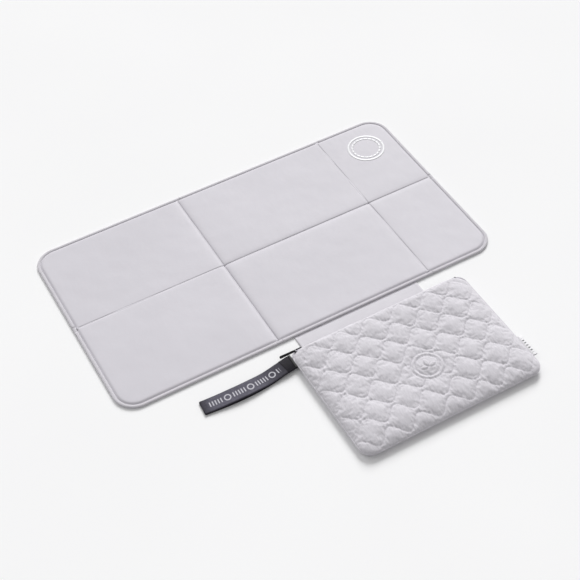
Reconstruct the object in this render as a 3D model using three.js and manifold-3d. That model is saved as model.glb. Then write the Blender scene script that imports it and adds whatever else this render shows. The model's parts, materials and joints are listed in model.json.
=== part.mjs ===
// A fold-out baby changing mat with a padded zip pouch sewn to it by a short flap.
// Millimetres, +Z up. The origin is the middle of the whole footprint, on the surface the mat lies on.
// The mat is two rows of three padded panels joined by soft creases. The pouch lies in front of it (-Y).
import * as THREE from "three";
import { mergeVertices } from "three/addons/utils/BufferGeometryUtils.js";
import Module from "manifold-3d";

const wasm = await Module();
wasm.setup();

// ---- Driving dimensions ----
const MAT_LENGTH = 660;
const MAT_DEPTH = 368;
const WHOLE_DEPTH = 620; // mat, flap and pouch together
const MAT_CORNER_RADIUS = 36;
const LEFT_COLUMN_WIDTH = 262;
const RIGHT_COLUMN_WIDTH = 127;
const NEAR_ROW_DEPTH = 187;
const POUCH_WIDTH = 308;
const POUCH_DEPTH = 222;
const POUCH_THICKNESS = 20;
const FLAP_WIDTH = 220;
const WEBBING_WIDTH = 25;
const STRAP_LENGTH = 153; // folded loop, from its root to its nose
const COIL_LENGTH = 284; // of the zip
const GAP = 0.3; // between pieces that touch
const ARC_STEPS = 4; // curve divisions of each rounded corner

// ---- Places worked out from them ----
const LEFT = -MAT_LENGTH / 2;
const RIGHT = MAT_LENGTH / 2;
const BACK = WHOLE_DEPTH / 2;
const FRONT = BACK - MAT_DEPTH;
const LEFT_CREASE_X = LEFT + LEFT_COLUMN_WIDTH;
const RIGHT_CREASE_X = RIGHT - RIGHT_COLUMN_WIDTH;
const ROW_CREASE_Y = FRONT + NEAR_ROW_DEPTH;
const POUCH_LEFT = LEFT_CREASE_X;
const POUCH_RIGHT = POUCH_LEFT + POUCH_WIDTH;
const POUCH_BOTTOM = -WHOLE_DEPTH / 2;
const POUCH_MOUTH = POUCH_BOTTOM + POUCH_DEPTH;

const COLUMNS = [
  { name: "left", from: LEFT, to: LEFT_CREASE_X },
  { name: "center", from: LEFT_CREASE_X, to: RIGHT_CREASE_X },
  { name: "right", from: RIGHT_CREASE_X, to: RIGHT },
];
const ROWS = [
  { name: "near", from: FRONT, to: ROW_CREASE_Y },
  { name: "far", from: ROW_CREASE_Y, to: BACK },
];

// ---- Heights of the mat's layers, and how far each layer stops short of an edge or a crease ----
const BINDING_WIDTH = 6.6;
const BINDING_PLY = 0.8;
const BINDING_TOP = 3.8;
const BINDING_FOLD = 1.0; // thickness of the tape at the mat's outermost edge
const BOTTOM_COVER = { low: 0, skin: 0.6, flangeLow: 1.1, flangeHigh: 1.7 };
const TOP_COVER = { high: 5.0, skin: 0.7, flangeLow: 2.0, flangeHigh: 2.7 };
const FOAM = { low: 0.9, high: 4.0 };
const FLANGE_INSET = { edge: BINDING_FOLD + GAP, crease: 3.0 };
const PAD_INSET = { edge: 7.0, crease: 5.0 };
const HOLLOW_INSET = { edge: 7.7, crease: 5.7 };
const FOAM_INSET = { edge: 8.1, crease: 6.1 };

// ---- Materials ----
function material(color, roughness, metalness = 0) {
  return new THREE.MeshStandardMaterial({ color, roughness, metalness });
}
const COATED_COVER = material(0xd8d5dc, 0.5);
const UNDERSIDE = material(0xc9c6ce, 0.8);
const FOAM_WHITE = material(0xf2f1ee, 0.95);
const BINDING = material(0xc6c3cb, 0.85);
const FLAP_CLOTH = material(0xdcd9df, 0.75);
const JERSEY = material(0xd3d0d6, 0.95);
const WADDING = material(0xf4f3f1, 1.0);
const LINING = material(0xbfbcc4, 0.8);
const ZIP_GREY = material(0xb9b6bf, 0.7);
const BLACK_METAL = material(0x232227, 0.4, 0.7);
const CHARCOAL_WEBBING = material(0x525059, 0.9);
const BLACK_WEBBING = material(0x222125, 0.9);
const LABEL_WHITE = material(0xe9e8ea, 0.7);

// ---- Solids ----
function solidOf(geometry) {
  const bare = geometry.clone();
  bare.deleteAttribute("normal");
  bare.deleteAttribute("uv");
  const merged = mergeVertices(bare, 1e-4);
  return new wasm.Manifold(
    new wasm.Mesh({
      numProp: 3,
      vertProperties: merged.attributes.position.array,
      triVerts: new Uint32Array(merged.index.array),
    }),
  );
}

function geometryOf(solid) {
  const mesh = solid.getMesh();
  const geometry = new THREE.BufferGeometry();
  geometry.setAttribute("position", new THREE.BufferAttribute(mesh.vertProperties, 3));
  geometry.setIndex(new THREE.BufferAttribute(mesh.triVerts, 1));
  geometry.computeVertexNormals();
  return geometry;
}

function prism(shape, low, high) {
  const options = { depth: high - low, bevelEnabled: false, curveSegments: ARC_STEPS };
  return solidOf(new THREE.ExtrudeGeometry(shape, options).translate(0, 0, low));
}

function block(x0, x1, y0, y1, z0, z1) {
  const box = new THREE.BoxGeometry(x1 - x0, y1 - y0, z1 - z0);
  return solidOf(box.translate((x0 + x1) / 2, (y0 + y1) / 2, (z0 + z1) / 2));
}

// A rectangle with its own radius at each corner: front left, front right, back right, back left.
function roundedRectangle(x0, y0, x1, y1, radii) {
  const [frontLeft, frontRight, backRight, backLeft] = radii;
  const corner = (shape, x, y, radius, from) => {
    if (radius > 0) shape.absarc(x, y, radius, from, from + Math.PI / 2);
    else shape.lineTo(x, y);
  };
  const shape = new THREE.Shape();
  shape.moveTo(x0 + frontLeft, y0);
  corner(shape, x1 - frontRight, y0 + frontRight, frontRight, -Math.PI / 2);
  corner(shape, x1 - backRight, y1 - backRight, backRight, 0);
  corner(shape, x0 + backLeft, y1 - backLeft, backLeft, Math.PI / 2);
  corner(shape, x0 + frontLeft, y0 + frontLeft, frontLeft, Math.PI);
  return shape;
}

const model = new THREE.Group();

function add(name, solid, finish) {
  const mesh = new THREE.Mesh(geometryOf(solid), finish);
  mesh.name = name;
  model.add(mesh);
}

// ---- The mat's panels ----
// One panel's outline, held back by inset.edge from the mat's edges and by inset.crease from its creases.
function panelOutline(column, row, inset) {
  const atLeft = column.from === LEFT;
  const atRight = column.to === RIGHT;
  const atFront = row.from === FRONT;
  const atBack = row.to === BACK;
  const held = (atEdge) => (atEdge ? inset.edge : inset.crease);
  const radius = (...sides) => (sides.every(Boolean) ? MAT_CORNER_RADIUS - inset.edge : 0);
  return roundedRectangle(
    column.from + held(atLeft),
    row.from + held(atFront),
    column.to - held(atRight),
    row.to - held(atBack),
    [radius(atLeft, atFront), radius(atRight, atFront), radius(atRight, atBack), radius(atLeft, atBack)],
  );
}

// A shallow tray turned upside down: a raised skin, a short wall and a flange that goes into the binding.
function topCover(column, row) {
  const flange = panelOutline(column, row, FLANGE_INSET);
  const pad = panelOutline(column, row, PAD_INSET);
  const hollow = panelOutline(column, row, HOLLOW_INSET);
  return prism(flange, TOP_COVER.flangeLow, TOP_COVER.flangeHigh)
    .add(prism(pad, TOP_COVER.flangeLow, TOP_COVER.high))
    .subtract(prism(hollow, TOP_COVER.flangeLow - 1, TOP_COVER.high - TOP_COVER.skin));
}

function bottomCover(column, row) {
  const flange = panelOutline(column, row, FLANGE_INSET);
  const pad = panelOutline(column, row, PAD_INSET);
  const hollow = panelOutline(column, row, HOLLOW_INSET);
  return prism(flange, BOTTOM_COVER.flangeLow, BOTTOM_COVER.flangeHigh)
    .add(prism(pad, BOTTOM_COVER.low, BOTTOM_COVER.flangeHigh))
    .subtract(prism(hollow, BOTTOM_COVER.skin, BOTTOM_COVER.flangeHigh + 1));
}

// The folded tape round the mat's edge: a C in section that holds both covers' flanges.
function edgeBinding(column, row) {
  const outer = panelOutline(column, row, { edge: 0, crease: GAP / 2 });
  const slot = panelOutline(column, row, { edge: BINDING_FOLD, crease: -1 });
  const inner = panelOutline(column, row, { edge: BINDING_WIDTH, crease: -1 });
  return prism(outer, 0, BINDING_TOP)
    .subtract(prism(slot, BINDING_PLY, BINDING_TOP - BINDING_PLY))
    .subtract(prism(inner, -1, BINDING_TOP + 1));
}

function addPanels() {
  for (const row of ROWS) {
    for (const column of COLUMNS) {
      const panel = `${row.name}_${column.name}`;
      add(`top_cover_${panel}`, topCover(column, row), COATED_COVER);
      const foam = prism(panelOutline(column, row, FOAM_INSET), FOAM.low, FOAM.high);
      add(`foam_insert_${panel}`, foam, FOAM_WHITE);
      add(`bottom_cover_${panel}`, bottomCover(column, row), UNDERSIDE);
      add(`edge_binding_${panel}`, edgeBinding(column, row), BINDING);
    }
  }
}

// Where two panels meet, both covers are pressed together into a soft web that the mat folds along.
function addCreaseWebs() {
  const halfWidth = FLANGE_INSET.crease - GAP;
  const low = BOTTOM_COVER.flangeLow;
  const high = TOP_COVER.flangeHigh;
  const clear = (at, edge) => (at === edge ? BINDING_WIDTH + GAP : FLANGE_INSET.crease);
  for (const row of ROWS) {
    const y0 = row.from + clear(row.from, FRONT);
    const y1 = row.to - clear(row.to, BACK);
    const left = block(LEFT_CREASE_X - halfWidth, LEFT_CREASE_X + halfWidth, y0, y1, low, high);
    const right = block(RIGHT_CREASE_X - halfWidth, RIGHT_CREASE_X + halfWidth, y0, y1, low, high);
    add(`crease_web_${row.name}_left`, left, COATED_COVER);
    add(`crease_web_${row.name}_right`, right, COATED_COVER);
  }
  for (const column of COLUMNS) {
    const x0 = column.from + clear(column.from, LEFT);
    const x1 = column.to - clear(column.to, RIGHT);
    const web = block(x0, x1, ROW_CREASE_Y - halfWidth, ROW_CREASE_Y + halfWidth, low, high);
    add(`crease_web_row_${column.name}`, web, COATED_COVER);
  }
}

// ---- The flap between mat and pouch ----
const FLAP_THICKNESS = 1.0;
const FLAP_SETBACK = 24; // from the pouch's left edge
const SEAM_ALLOWANCE = 1.8; // the back panel reaches this far past the mouth
const FLAP_LEFT = POUCH_LEFT + FLAP_SETBACK;
const FLAP_END = POUCH_MOUTH + SEAM_ALLOWANCE;

function addFlap() {
  const flap = block(FLAP_LEFT, FLAP_LEFT + FLAP_WIDTH, FLAP_END, FRONT - GAP, 0, FLAP_THICKNESS);
  add("connecting_flap", flap, FLAP_CLOTH);
}

// ---- The pouch ----
const POUCH_CORNER_RADIUS = 20;
const BACK_PANEL_CORNER_RADIUS = 13; // at the mouth
const BACK_PANEL_THICKNESS = 1.2;
const FRONT_BASE = BACK_PANEL_THICKNESS + GAP; // where the padded front starts
const SHELL_THICKNESS = 1.2;
const LINING_THICKNESS = 0.6;
const SIDE_WALL_TOP = 4; // the padded front rounds over from here up
const ROUND_OVER = 17; // how far in from the edge it has risen to its full height
const ROUND_OVER_STEPS = 5;
const LIP_SETBACK = 3.5; // the padded front ends this far behind the mouth's edge, to make room for the zip
const LIP_Y = POUCH_MOUTH - LIP_SETBACK;
const CAVITY_TOP = 9.3;
const CAVITY_INSET = 5.9;

// The pouch's outline, held back from its left, right and bottom edges but never from its mouth.
function pouchOutline(inset) {
  const radius = POUCH_CORNER_RADIUS - inset;
  return roundedRectangle(
    POUCH_LEFT + inset,
    POUCH_BOTTOM + inset,
    POUCH_RIGHT - inset,
    POUCH_MOUTH,
    [radius, radius, radius, radius],
  );
}

function behindLip(solid) {
  return solid.subtract(block(LEFT, RIGHT, LIP_Y, FRONT, -1, POUCH_THICKNESS + 1));
}

// A pillow that stands on the back panel, with straight sides up to SIDE_WALL_TOP and a rounded top.
function dome(inset, top) {
  const crownInset = inset + ROUND_OVER;
  const radius = POUCH_CORNER_RADIUS - crownInset;
  const crown = roundedRectangle(
    POUCH_LEFT + crownInset,
    POUCH_BOTTOM + crownInset,
    POUCH_RIGHT - crownInset,
    POUCH_MOUTH - ROUND_OVER,
    [radius, radius, radius, radius],
  );
  const rise = top - SIDE_WALL_TOP;
  const pillow = new THREE.ExtrudeGeometry(crown, {
    depth: SIDE_WALL_TOP,
    bevelThickness: rise,
    bevelSize: ROUND_OVER,
    bevelSegments: ROUND_OVER_STEPS,
    curveSegments: ARC_STEPS,
  });
  const below = block(LEFT, RIGHT, POUCH_BOTTOM - 1, FRONT, -POUCH_THICKNESS, FRONT_BASE);
  return behindLip(solidOf(pillow).subtract(below));
}

function hollow(inset, top) {
  return prism(pouchOutline(inset), 0, top);
}

function addPouchShells() {
  const shellInside = dome(SHELL_THICKNESS, POUCH_THICKNESS - SHELL_THICKNESS);
  add("pouch_front_shell", dome(0, POUCH_THICKNESS).subtract(shellInside), JERSEY);

  const liningInset = CAVITY_INSET - LINING_THICKNESS;
  const liningTop = CAVITY_TOP + LINING_THICKNESS;
  const wadding = dome(SHELL_THICKNESS + GAP, POUCH_THICKNESS - SHELL_THICKNESS - GAP);
  add("pouch_front_batting", wadding.subtract(hollow(liningInset - GAP, liningTop + GAP)), WADDING);

  // The lining follows the wadding round the mouth's corners, where the pouch is narrower.
  const insideWadding = dome(SHELL_THICKNESS + 2 * GAP, POUCH_THICKNESS - SHELL_THICKNESS - 2 * GAP);
  const liningOutside = prism(pouchOutline(liningInset), FRONT_BASE, liningTop);
  const lining = liningOutside.subtract(hollow(CAVITY_INSET, CAVITY_TOP)).intersect(insideWadding);
  add("pouch_front_lining", lining, LINING);

  const backEdge = FLAP_END - 2 * GAP;
  const backPanel = roundedRectangle(POUCH_LEFT, POUCH_BOTTOM, POUCH_RIGHT, backEdge, [
    POUCH_CORNER_RADIUS,
    POUCH_CORNER_RADIUS,
    BACK_PANEL_CORNER_RADIUS,
    BACK_PANEL_CORNER_RADIUS,
  ]);
  add("pouch_back_panel", prism(backPanel, 0, BACK_PANEL_THICKNESS), JERSEY);
  const backLining = prism(pouchOutline(CAVITY_INSET + GAP), FRONT_BASE, FRONT_BASE + LINING_THICKNESS);
  add("pouch_back_lining", behindLip(backLining), LINING);
}

// ---- The zip, which stands upright across the mouth ----
const ZIP_SETBACK = 0.6; // behind the mouth's edge
const ZIP_Y = POUCH_MOUTH - ZIP_SETBACK;
const COIL_RADIUS = 0.8;
const BACK_COIL_Z = 3.7;
const FRONT_COIL_Z = 9.9;
const COIL_SIDES = 8;
const COIL_SETBACK = 10.5; // from the pouch's left edge
const COIL_LEFT = POUCH_LEFT + COIL_SETBACK;
const COIL_RIGHT = COIL_LEFT + COIL_LENGTH;
const TAPE_THICKNESS = 0.6;
const TAPE_REACH = 2; // of the front tape, up from its coil
const STOP_LENGTH = 2.2;

// An L in section: one leg, from low to high, holds the coil. The other is sewn to the lip behind it.
function zipTape(low, high, sewnLegLow) {
  const back = LIP_Y + GAP;
  const front = ZIP_Y + TAPE_THICKNESS / 2;
  const upright = block(COIL_LEFT, COIL_RIGHT, front - TAPE_THICKNESS, front, low, high);
  const sewnLeg = block(COIL_LEFT, COIL_RIGHT, back, front, sewnLegLow, sewnLegLow + TAPE_THICKNESS);
  return upright.add(sewnLeg);
}

function zipCoil(z) {
  const rod = new THREE.CylinderGeometry(COIL_RADIUS, COIL_RADIUS, COIL_LENGTH, COIL_SIDES);
  rod.rotateZ(Math.PI / 2);
  return solidOf(rod.translate((COIL_LEFT + COIL_RIGHT) / 2, ZIP_Y, z));
}

function addZip() {
  const frontTapeLow = FRONT_COIL_Z + COIL_RADIUS + GAP;
  const frontTapeHigh = frontTapeLow + TAPE_REACH;
  const backTapeHigh = BACK_COIL_Z - COIL_RADIUS - GAP;
  add("zip_tape_front", zipTape(frontTapeLow, frontTapeHigh, frontTapeHigh - TAPE_THICKNESS), ZIP_GREY);
  add("zip_tape_back", zipTape(FRONT_BASE, backTapeHigh, FRONT_BASE), ZIP_GREY);
  add("zip_coil_front", zipCoil(FRONT_COIL_Z), ZIP_GREY);
  add("zip_coil_back", zipCoil(BACK_COIL_Z), ZIP_GREY);

  const back = ZIP_Y - COIL_RADIUS;
  const front = ZIP_Y + COIL_RADIUS;
  const stop = (x, low, high) =>
    block(x, x + STOP_LENGTH, back, front, low - COIL_RADIUS, high + COIL_RADIUS);
  add("zip_bottom_stop", stop(COIL_LEFT - GAP - STOP_LENGTH, BACK_COIL_Z, FRONT_COIL_Z), BLACK_METAL);
  add("zip_top_stop_front", stop(COIL_RIGHT + GAP, FRONT_COIL_Z, FRONT_COIL_Z), BLACK_METAL);
  add("zip_top_stop_back", stop(COIL_RIGHT + GAP, BACK_COIL_Z, BACK_COIL_Z), BLACK_METAL);
}

// The slider clasps both coils between two plates. Its arch, on the outside, holds the pull tab's pin.
const SLIDER_SETBACK = 6.5; // from the coils' left end, where it rests with the zip open
const SLIDER_X = COIL_LEFT + SLIDER_SETBACK;
const SLIDER_HALF_LENGTH = 5;
const PLATE_THICKNESS = 1.0;
const SLIDER_MIDDLE_Z = (BACK_COIL_Z + FRONT_COIL_Z) / 2;
const PLATE_OUTER_FACE = ZIP_Y + COIL_RADIUS + GAP + PLATE_THICKNESS;
const PIN_REACH = 1; // from the outer plate to the pin's middle
const PIN_Y = PLATE_OUTER_FACE + PIN_REACH;
const PIN_RADIUS = 0.6;
const PIN_SIDES = 12;

function addSlider() {
  const x0 = SLIDER_X - SLIDER_HALF_LENGTH;
  const x1 = SLIDER_X + SLIDER_HALF_LENGTH;
  const z0 = BACK_COIL_Z - COIL_RADIUS;
  const z1 = FRONT_COIL_Z + COIL_RADIUS;
  const plate = (y) => block(x0, x1, y - PLATE_THICKNESS, y, z0, z1);
  const innerFace = ZIP_Y - COIL_RADIUS - GAP;
  const wedgeFrom = -1; // along X, from the slider's middle
  const wedgeTo = 4;
  const wedge = block(
    SLIDER_X + wedgeFrom,
    SLIDER_X + wedgeTo,
    innerFace - PLATE_THICKNESS / 2,
    PLATE_OUTER_FACE - PLATE_THICKNESS / 2,
    BACK_COIL_Z + COIL_RADIUS + GAP,
    FRONT_COIL_Z - COIL_RADIUS - GAP,
  );
  const archHalfHeight = 1;
  const archReach = 4.2;
  const postLength = 1.2;
  const barFace = PIN_Y + PIN_RADIUS + GAP;
  const archLow = SLIDER_MIDDLE_Z - archHalfHeight;
  const archHigh = SLIDER_MIDDLE_Z + archHalfHeight;
  const root = PLATE_OUTER_FACE - PLATE_THICKNESS / 2;
  const post = (x) => block(x, x + postLength, root, barFace + PLATE_THICKNESS, archLow, archHigh);
  const bar = block(
    SLIDER_X - archReach,
    SLIDER_X + archReach,
    barFace,
    barFace + PLATE_THICKNESS,
    archLow,
    archHigh,
  );
  const slider = plate(innerFace)
    .add(plate(PLATE_OUTER_FACE))
    .add(wedge)
    .add(post(SLIDER_X - archReach))
    .add(post(SLIDER_X + archReach - postLength))
    .add(bar);
  add("zip_slider", slider, BLACK_METAL);
}

// A pin through the arch, two arms beside it and a flat tab that points left, standing on edge.
function addPullTab() {
  const tabStart = 6;
  const tabEnd = 33;
  const tabHalfHeight = 2.8;
  const tabHalfThickness = 0.8;
  const tipRadius = 2;
  const rootRadius = 1;
  const armHeight = 0.8;
  const armInnerZ = 1.4; // from the slider's middle height
  const armHalfThickness = 0.5;
  const pinHalfLength = armInnerZ + armHeight / 2;
  const pin = new THREE.CylinderGeometry(PIN_RADIUS, PIN_RADIUS, 2 * pinHalfLength, PIN_SIDES);
  pin.rotateX(Math.PI / 2);
  pin.translate(SLIDER_X, PIN_Y, SLIDER_MIDDLE_Z);
  const armFrom = SLIDER_X - tabStart - rootRadius;
  const armTo = SLIDER_X + PIN_RADIUS;
  const arm = (z) =>
    block(armFrom, armTo, PIN_Y - armHalfThickness, PIN_Y + armHalfThickness, z, z + armHeight);
  const tab = roundedRectangle(
    SLIDER_X - tabEnd,
    SLIDER_MIDDLE_Z - tabHalfHeight,
    SLIDER_X - tabStart,
    SLIDER_MIDDLE_Z + tabHalfHeight,
    [tipRadius, rootRadius, rootRadius, tipRadius],
  );
  const depth = 2 * tabHalfThickness;
  const plate = new THREE.ExtrudeGeometry(tab, { depth, bevelEnabled: false, curveSegments: 2 });
  plate.rotateX(Math.PI / 2);
  plate.translate(0, PIN_Y + tabHalfThickness, 0);
  const puller = solidOf(plate)
    .add(solidOf(pin))
    .add(arm(SLIDER_MIDDLE_Z + armInnerZ))
    .add(arm(SLIDER_MIDDLE_Z - armInnerZ - armHeight));
  add("zip_pull_tab", puller, BLACK_METAL);
}

// ---- The wrist strap on the pouch's left edge ----
const STRAP_SETBACK = 13.5; // of its middle line from the mouth's edge
const STRAP_Y = POUCH_MOUTH - STRAP_SETBACK;
const STRAP_PLY = 1.5;
const STRAP_HEIGHT = 9.6;
const STRAP_ROOT_X = POUCH_LEFT - 6;
const STRAP_ROOT = { low: 4.0, high: 7.4 };
const STRAP_TURN = THREE.MathUtils.degToRad(3.3); // it swings a little away from the mat
const ANCHOR = { length: 4.2, low: 3.4, high: 8.0 };

// A doubled webbing: both plies are sewn together at the root, part, and turn round at the nose.
function strapLoop() {
  const nose = -STRAP_LENGTH + STRAP_HEIGHT / 2;
  const middle = STRAP_HEIGHT / 2;
  const part = -22; // both plies are one up to here
  const level = -46; // and lie level from here on
  const gapRoot = part - 2;
  const gapLevel = level - 4;
  const gapTop = STRAP_HEIGHT - STRAP_PLY;
  const pullNear = part - 10; // the curves' pull points, where the plies part
  const pullFar = part - 12;
  const band = new THREE.Shape();
  band.moveTo(0, STRAP_ROOT.high);
  band.bezierCurveTo(part, STRAP_ROOT.high, part, STRAP_HEIGHT, level, STRAP_HEIGHT);
  band.lineTo(nose, STRAP_HEIGHT);
  band.absarc(nose, middle, middle, Math.PI / 2, 1.5 * Math.PI);
  band.lineTo(level, 0);
  band.bezierCurveTo(part, 0, part, STRAP_ROOT.low, 0, STRAP_ROOT.low);
  band.closePath();
  const gap = new THREE.Path();
  gap.moveTo(gapRoot, middle);
  gap.bezierCurveTo(pullNear, middle, pullFar, gapTop, gapLevel, gapTop);
  gap.lineTo(nose, gapTop);
  gap.absarc(nose, middle, middle - STRAP_PLY, Math.PI / 2, 1.5 * Math.PI);
  gap.lineTo(gapLevel, STRAP_PLY);
  gap.bezierCurveTo(pullFar, STRAP_PLY, pullNear, middle, gapRoot, middle);
  band.holes.push(gap);
  const options = { depth: WEBBING_WIDTH, bevelEnabled: false, curveSegments: ARC_STEPS };
  const loop = new THREE.ExtrudeGeometry(band, options);
  loop.rotateX(Math.PI / 2);
  loop.translate(0, WEBBING_WIDTH / 2, 0);
  loop.rotateZ(STRAP_TURN);
  return solidOf(loop.translate(STRAP_ROOT_X, STRAP_Y, 0));
}

function addStrap() {
  add("wrist_strap_webbing", strapLoop(), CHARCOAL_WEBBING);
  const half = WEBBING_WIDTH / 2 + GAP;
  const edge = POUCH_LEFT - GAP;
  const anchor = block(edge - ANCHOR.length, edge, STRAP_Y - half, STRAP_Y + half, ANCHOR.low, ANCHOR.high);
  add("strap_anchor_bar", anchor, BLACK_WEBBING);
}

// ---- The folded label on the pouch's right edge ----
function addLabel() {
  const label = { reach: 8, from: POUCH_BOTTOM + 33, length: 42, low: 6.5, high: 7.5 };
  const x0 = POUCH_RIGHT + GAP;
  const tab = block(x0, x0 + label.reach, label.from, label.from + label.length, label.low, label.high);
  add("side_label", tab, LABEL_WHITE);
}

addPanels();
addCreaseWebs();
addFlap();
addPouchShells();
addZip();
addSlider();
addPullTab();
addStrap();
addLabel();

export default model;
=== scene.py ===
"""Looks of a fold-out changing mat with a quilted zip pouch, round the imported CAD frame. Metres, +Z up."""
import json
import math

import bmesh
import bpy
import numpy as np
from mathutils import Matrix, Vector, noise

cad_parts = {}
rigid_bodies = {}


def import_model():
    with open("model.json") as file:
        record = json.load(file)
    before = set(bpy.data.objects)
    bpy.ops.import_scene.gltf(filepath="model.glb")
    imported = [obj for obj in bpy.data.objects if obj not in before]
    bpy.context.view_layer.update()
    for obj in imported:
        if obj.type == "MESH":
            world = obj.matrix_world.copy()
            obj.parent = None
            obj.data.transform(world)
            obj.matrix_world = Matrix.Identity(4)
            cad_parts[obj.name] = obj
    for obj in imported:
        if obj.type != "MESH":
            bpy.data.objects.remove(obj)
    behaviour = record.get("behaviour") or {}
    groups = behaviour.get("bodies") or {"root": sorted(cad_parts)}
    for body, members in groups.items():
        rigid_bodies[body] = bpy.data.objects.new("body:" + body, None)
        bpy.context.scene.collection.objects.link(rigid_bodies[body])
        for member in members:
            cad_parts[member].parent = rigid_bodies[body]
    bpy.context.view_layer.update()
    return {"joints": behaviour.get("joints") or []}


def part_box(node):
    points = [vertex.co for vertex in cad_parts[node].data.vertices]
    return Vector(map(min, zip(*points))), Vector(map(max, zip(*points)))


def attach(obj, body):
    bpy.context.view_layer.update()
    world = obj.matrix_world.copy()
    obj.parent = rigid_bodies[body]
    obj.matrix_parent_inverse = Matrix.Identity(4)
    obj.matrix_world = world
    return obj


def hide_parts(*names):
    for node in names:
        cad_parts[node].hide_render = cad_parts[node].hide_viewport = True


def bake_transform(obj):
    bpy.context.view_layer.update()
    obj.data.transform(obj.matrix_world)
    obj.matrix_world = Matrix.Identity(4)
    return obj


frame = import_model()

MM = 0.001
UP = Vector((0, 0, 1))
COLUMNS = ("left", "center", "right")
ROW_SIGN = {"near": -1, "far": 1}  # on which side of the row crease a row lies, along Y
SIDE_SIGN = {"left": -1, "right": 1}  # on which side of the mat an outer column lies, along X


# ---------------------------------------------------------------- places read from the frame
def pivot(joint_name):
    return next(j for j in frame["joints"] if j["name"] == joint_name)["pos_m"]


def low(node):
    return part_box(node)[0]


def high(node):
    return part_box(node)[1]


def middle(node):
    return (low(node) + high(node)) / 2


MAT_X = (low("edge_binding_near_left").x, high("edge_binding_near_right").x)
MAT_Y = (low("edge_binding_near_left").y, high("edge_binding_far_left").y)
MAT_LENGTH = MAT_X[1] - MAT_X[0]
MAT_RADIUS = 36 * MM
PAD_TOP = high("top_cover_near_center").z
CREASE_X = (pivot("left_fold")[0], pivot("right_fold")[0])
CREASE_Y = pivot("far_fold")[1]
COLUMN_SPAN = {"left": (MAT_X[0], CREASE_X[0]), "center": CREASE_X, "right": (CREASE_X[1], MAT_X[1])}
ROW_SPAN = {"near": (MAT_Y[0], CREASE_Y), "far": (CREASE_Y, MAT_Y[1])}

POUCH_X0 = low("pouch_front_shell").x
POUCH_X1 = high("pouch_front_shell").x
POUCH_Y0 = low("pouch_front_shell").y + 2.8 * MM  # the rounded front edge stays inside the CAD's square one
POUCH_LIP = high("pouch_front_shell").y
POUCH_TOP = high("pouch_front_shell").z


# ---------------------------------------------------------------- camera
def make_camera():
    """A long lens that looks down on the mat from its left front, turned a little about its own axis."""
    azimuth = math.radians(-26.24)
    elevation = math.radians(48.2)
    roll = math.radians(-3.81)
    distance = 3.028 * MAT_LENGTH
    target = Vector((-0.0025 * MAT_LENGTH, MAT_Y[0] + 0.1346 * MAT_LENGTH, 0))
    level = Vector((math.cos(azimuth), math.sin(azimuth), 0))
    back = Vector((level.y, -level.x, 0)) * math.cos(elevation) + UP * math.sin(elevation)
    upright = back.cross(level)
    right = level * math.cos(roll) + upright * math.sin(roll)
    up = upright * math.cos(roll) - level * math.sin(roll)
    data = bpy.data.cameras.new("camera")
    data.lens = 78.77
    data.sensor_width = 36
    camera = bpy.data.objects.new("camera", data)
    turn = Matrix((right, up, back)).transposed().to_4x4()
    camera.matrix_world = Matrix.Translation(target + back * distance) @ turn
    bpy.context.scene.collection.objects.link(camera)
    bpy.context.scene.camera = camera


make_camera()


# ---------------------------------------------------------------- node materials
def srgb(*levels):
    """A linear colour from display levels, 0 to 255."""
    shares = [v / 255 for v in levels]
    return tuple(v / 12.92 if v <= 0.04045 else ((v + 0.055) / 1.055) ** 2.4 for v in shares) + (1,)


def shade(colour, factor):
    return tuple(c * factor for c in colour[:3]) + (1,)


BLACK = (0, 0, 0, 1)
WHITE = (1, 1, 1, 1)


class Value:
    """What one node of a material gives. Arithmetic on it adds Math nodes."""

    def __init__(self, finish, socket):
        self.finish = finish
        self.socket = socket

    def __add__(self, other):
        return self.finish.math("ADD", self, other)

    def __sub__(self, other):
        return self.finish.math("SUBTRACT", self, other)

    def __mul__(self, other):
        return self.finish.math("MULTIPLY", self, other)

    def __pow__(self, other):
        return self.finish.math("POWER", self, other)

    def __lt__(self, other):
        return self.finish.math("LESS_THAN", self, other)

    def __gt__(self, other):
        return self.finish.math("GREATER_THAN", self, other)

    def __abs__(self):
        return self.finish.math("ABSOLUTE", self)

    def folded(self, length):
        """Runs from 0 to length and back, over and over."""
        return self.finish.math("PINGPONG", self, length)

    def ribs(self, pitch):
        """A sine wave, -1 to 1."""
        return self.finish.math("SINE", self * (2 * math.pi / pitch))

    def level(self):
        """A sine wave's height from 0 to 1."""
        return self * 0.5 + 0.5


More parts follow.
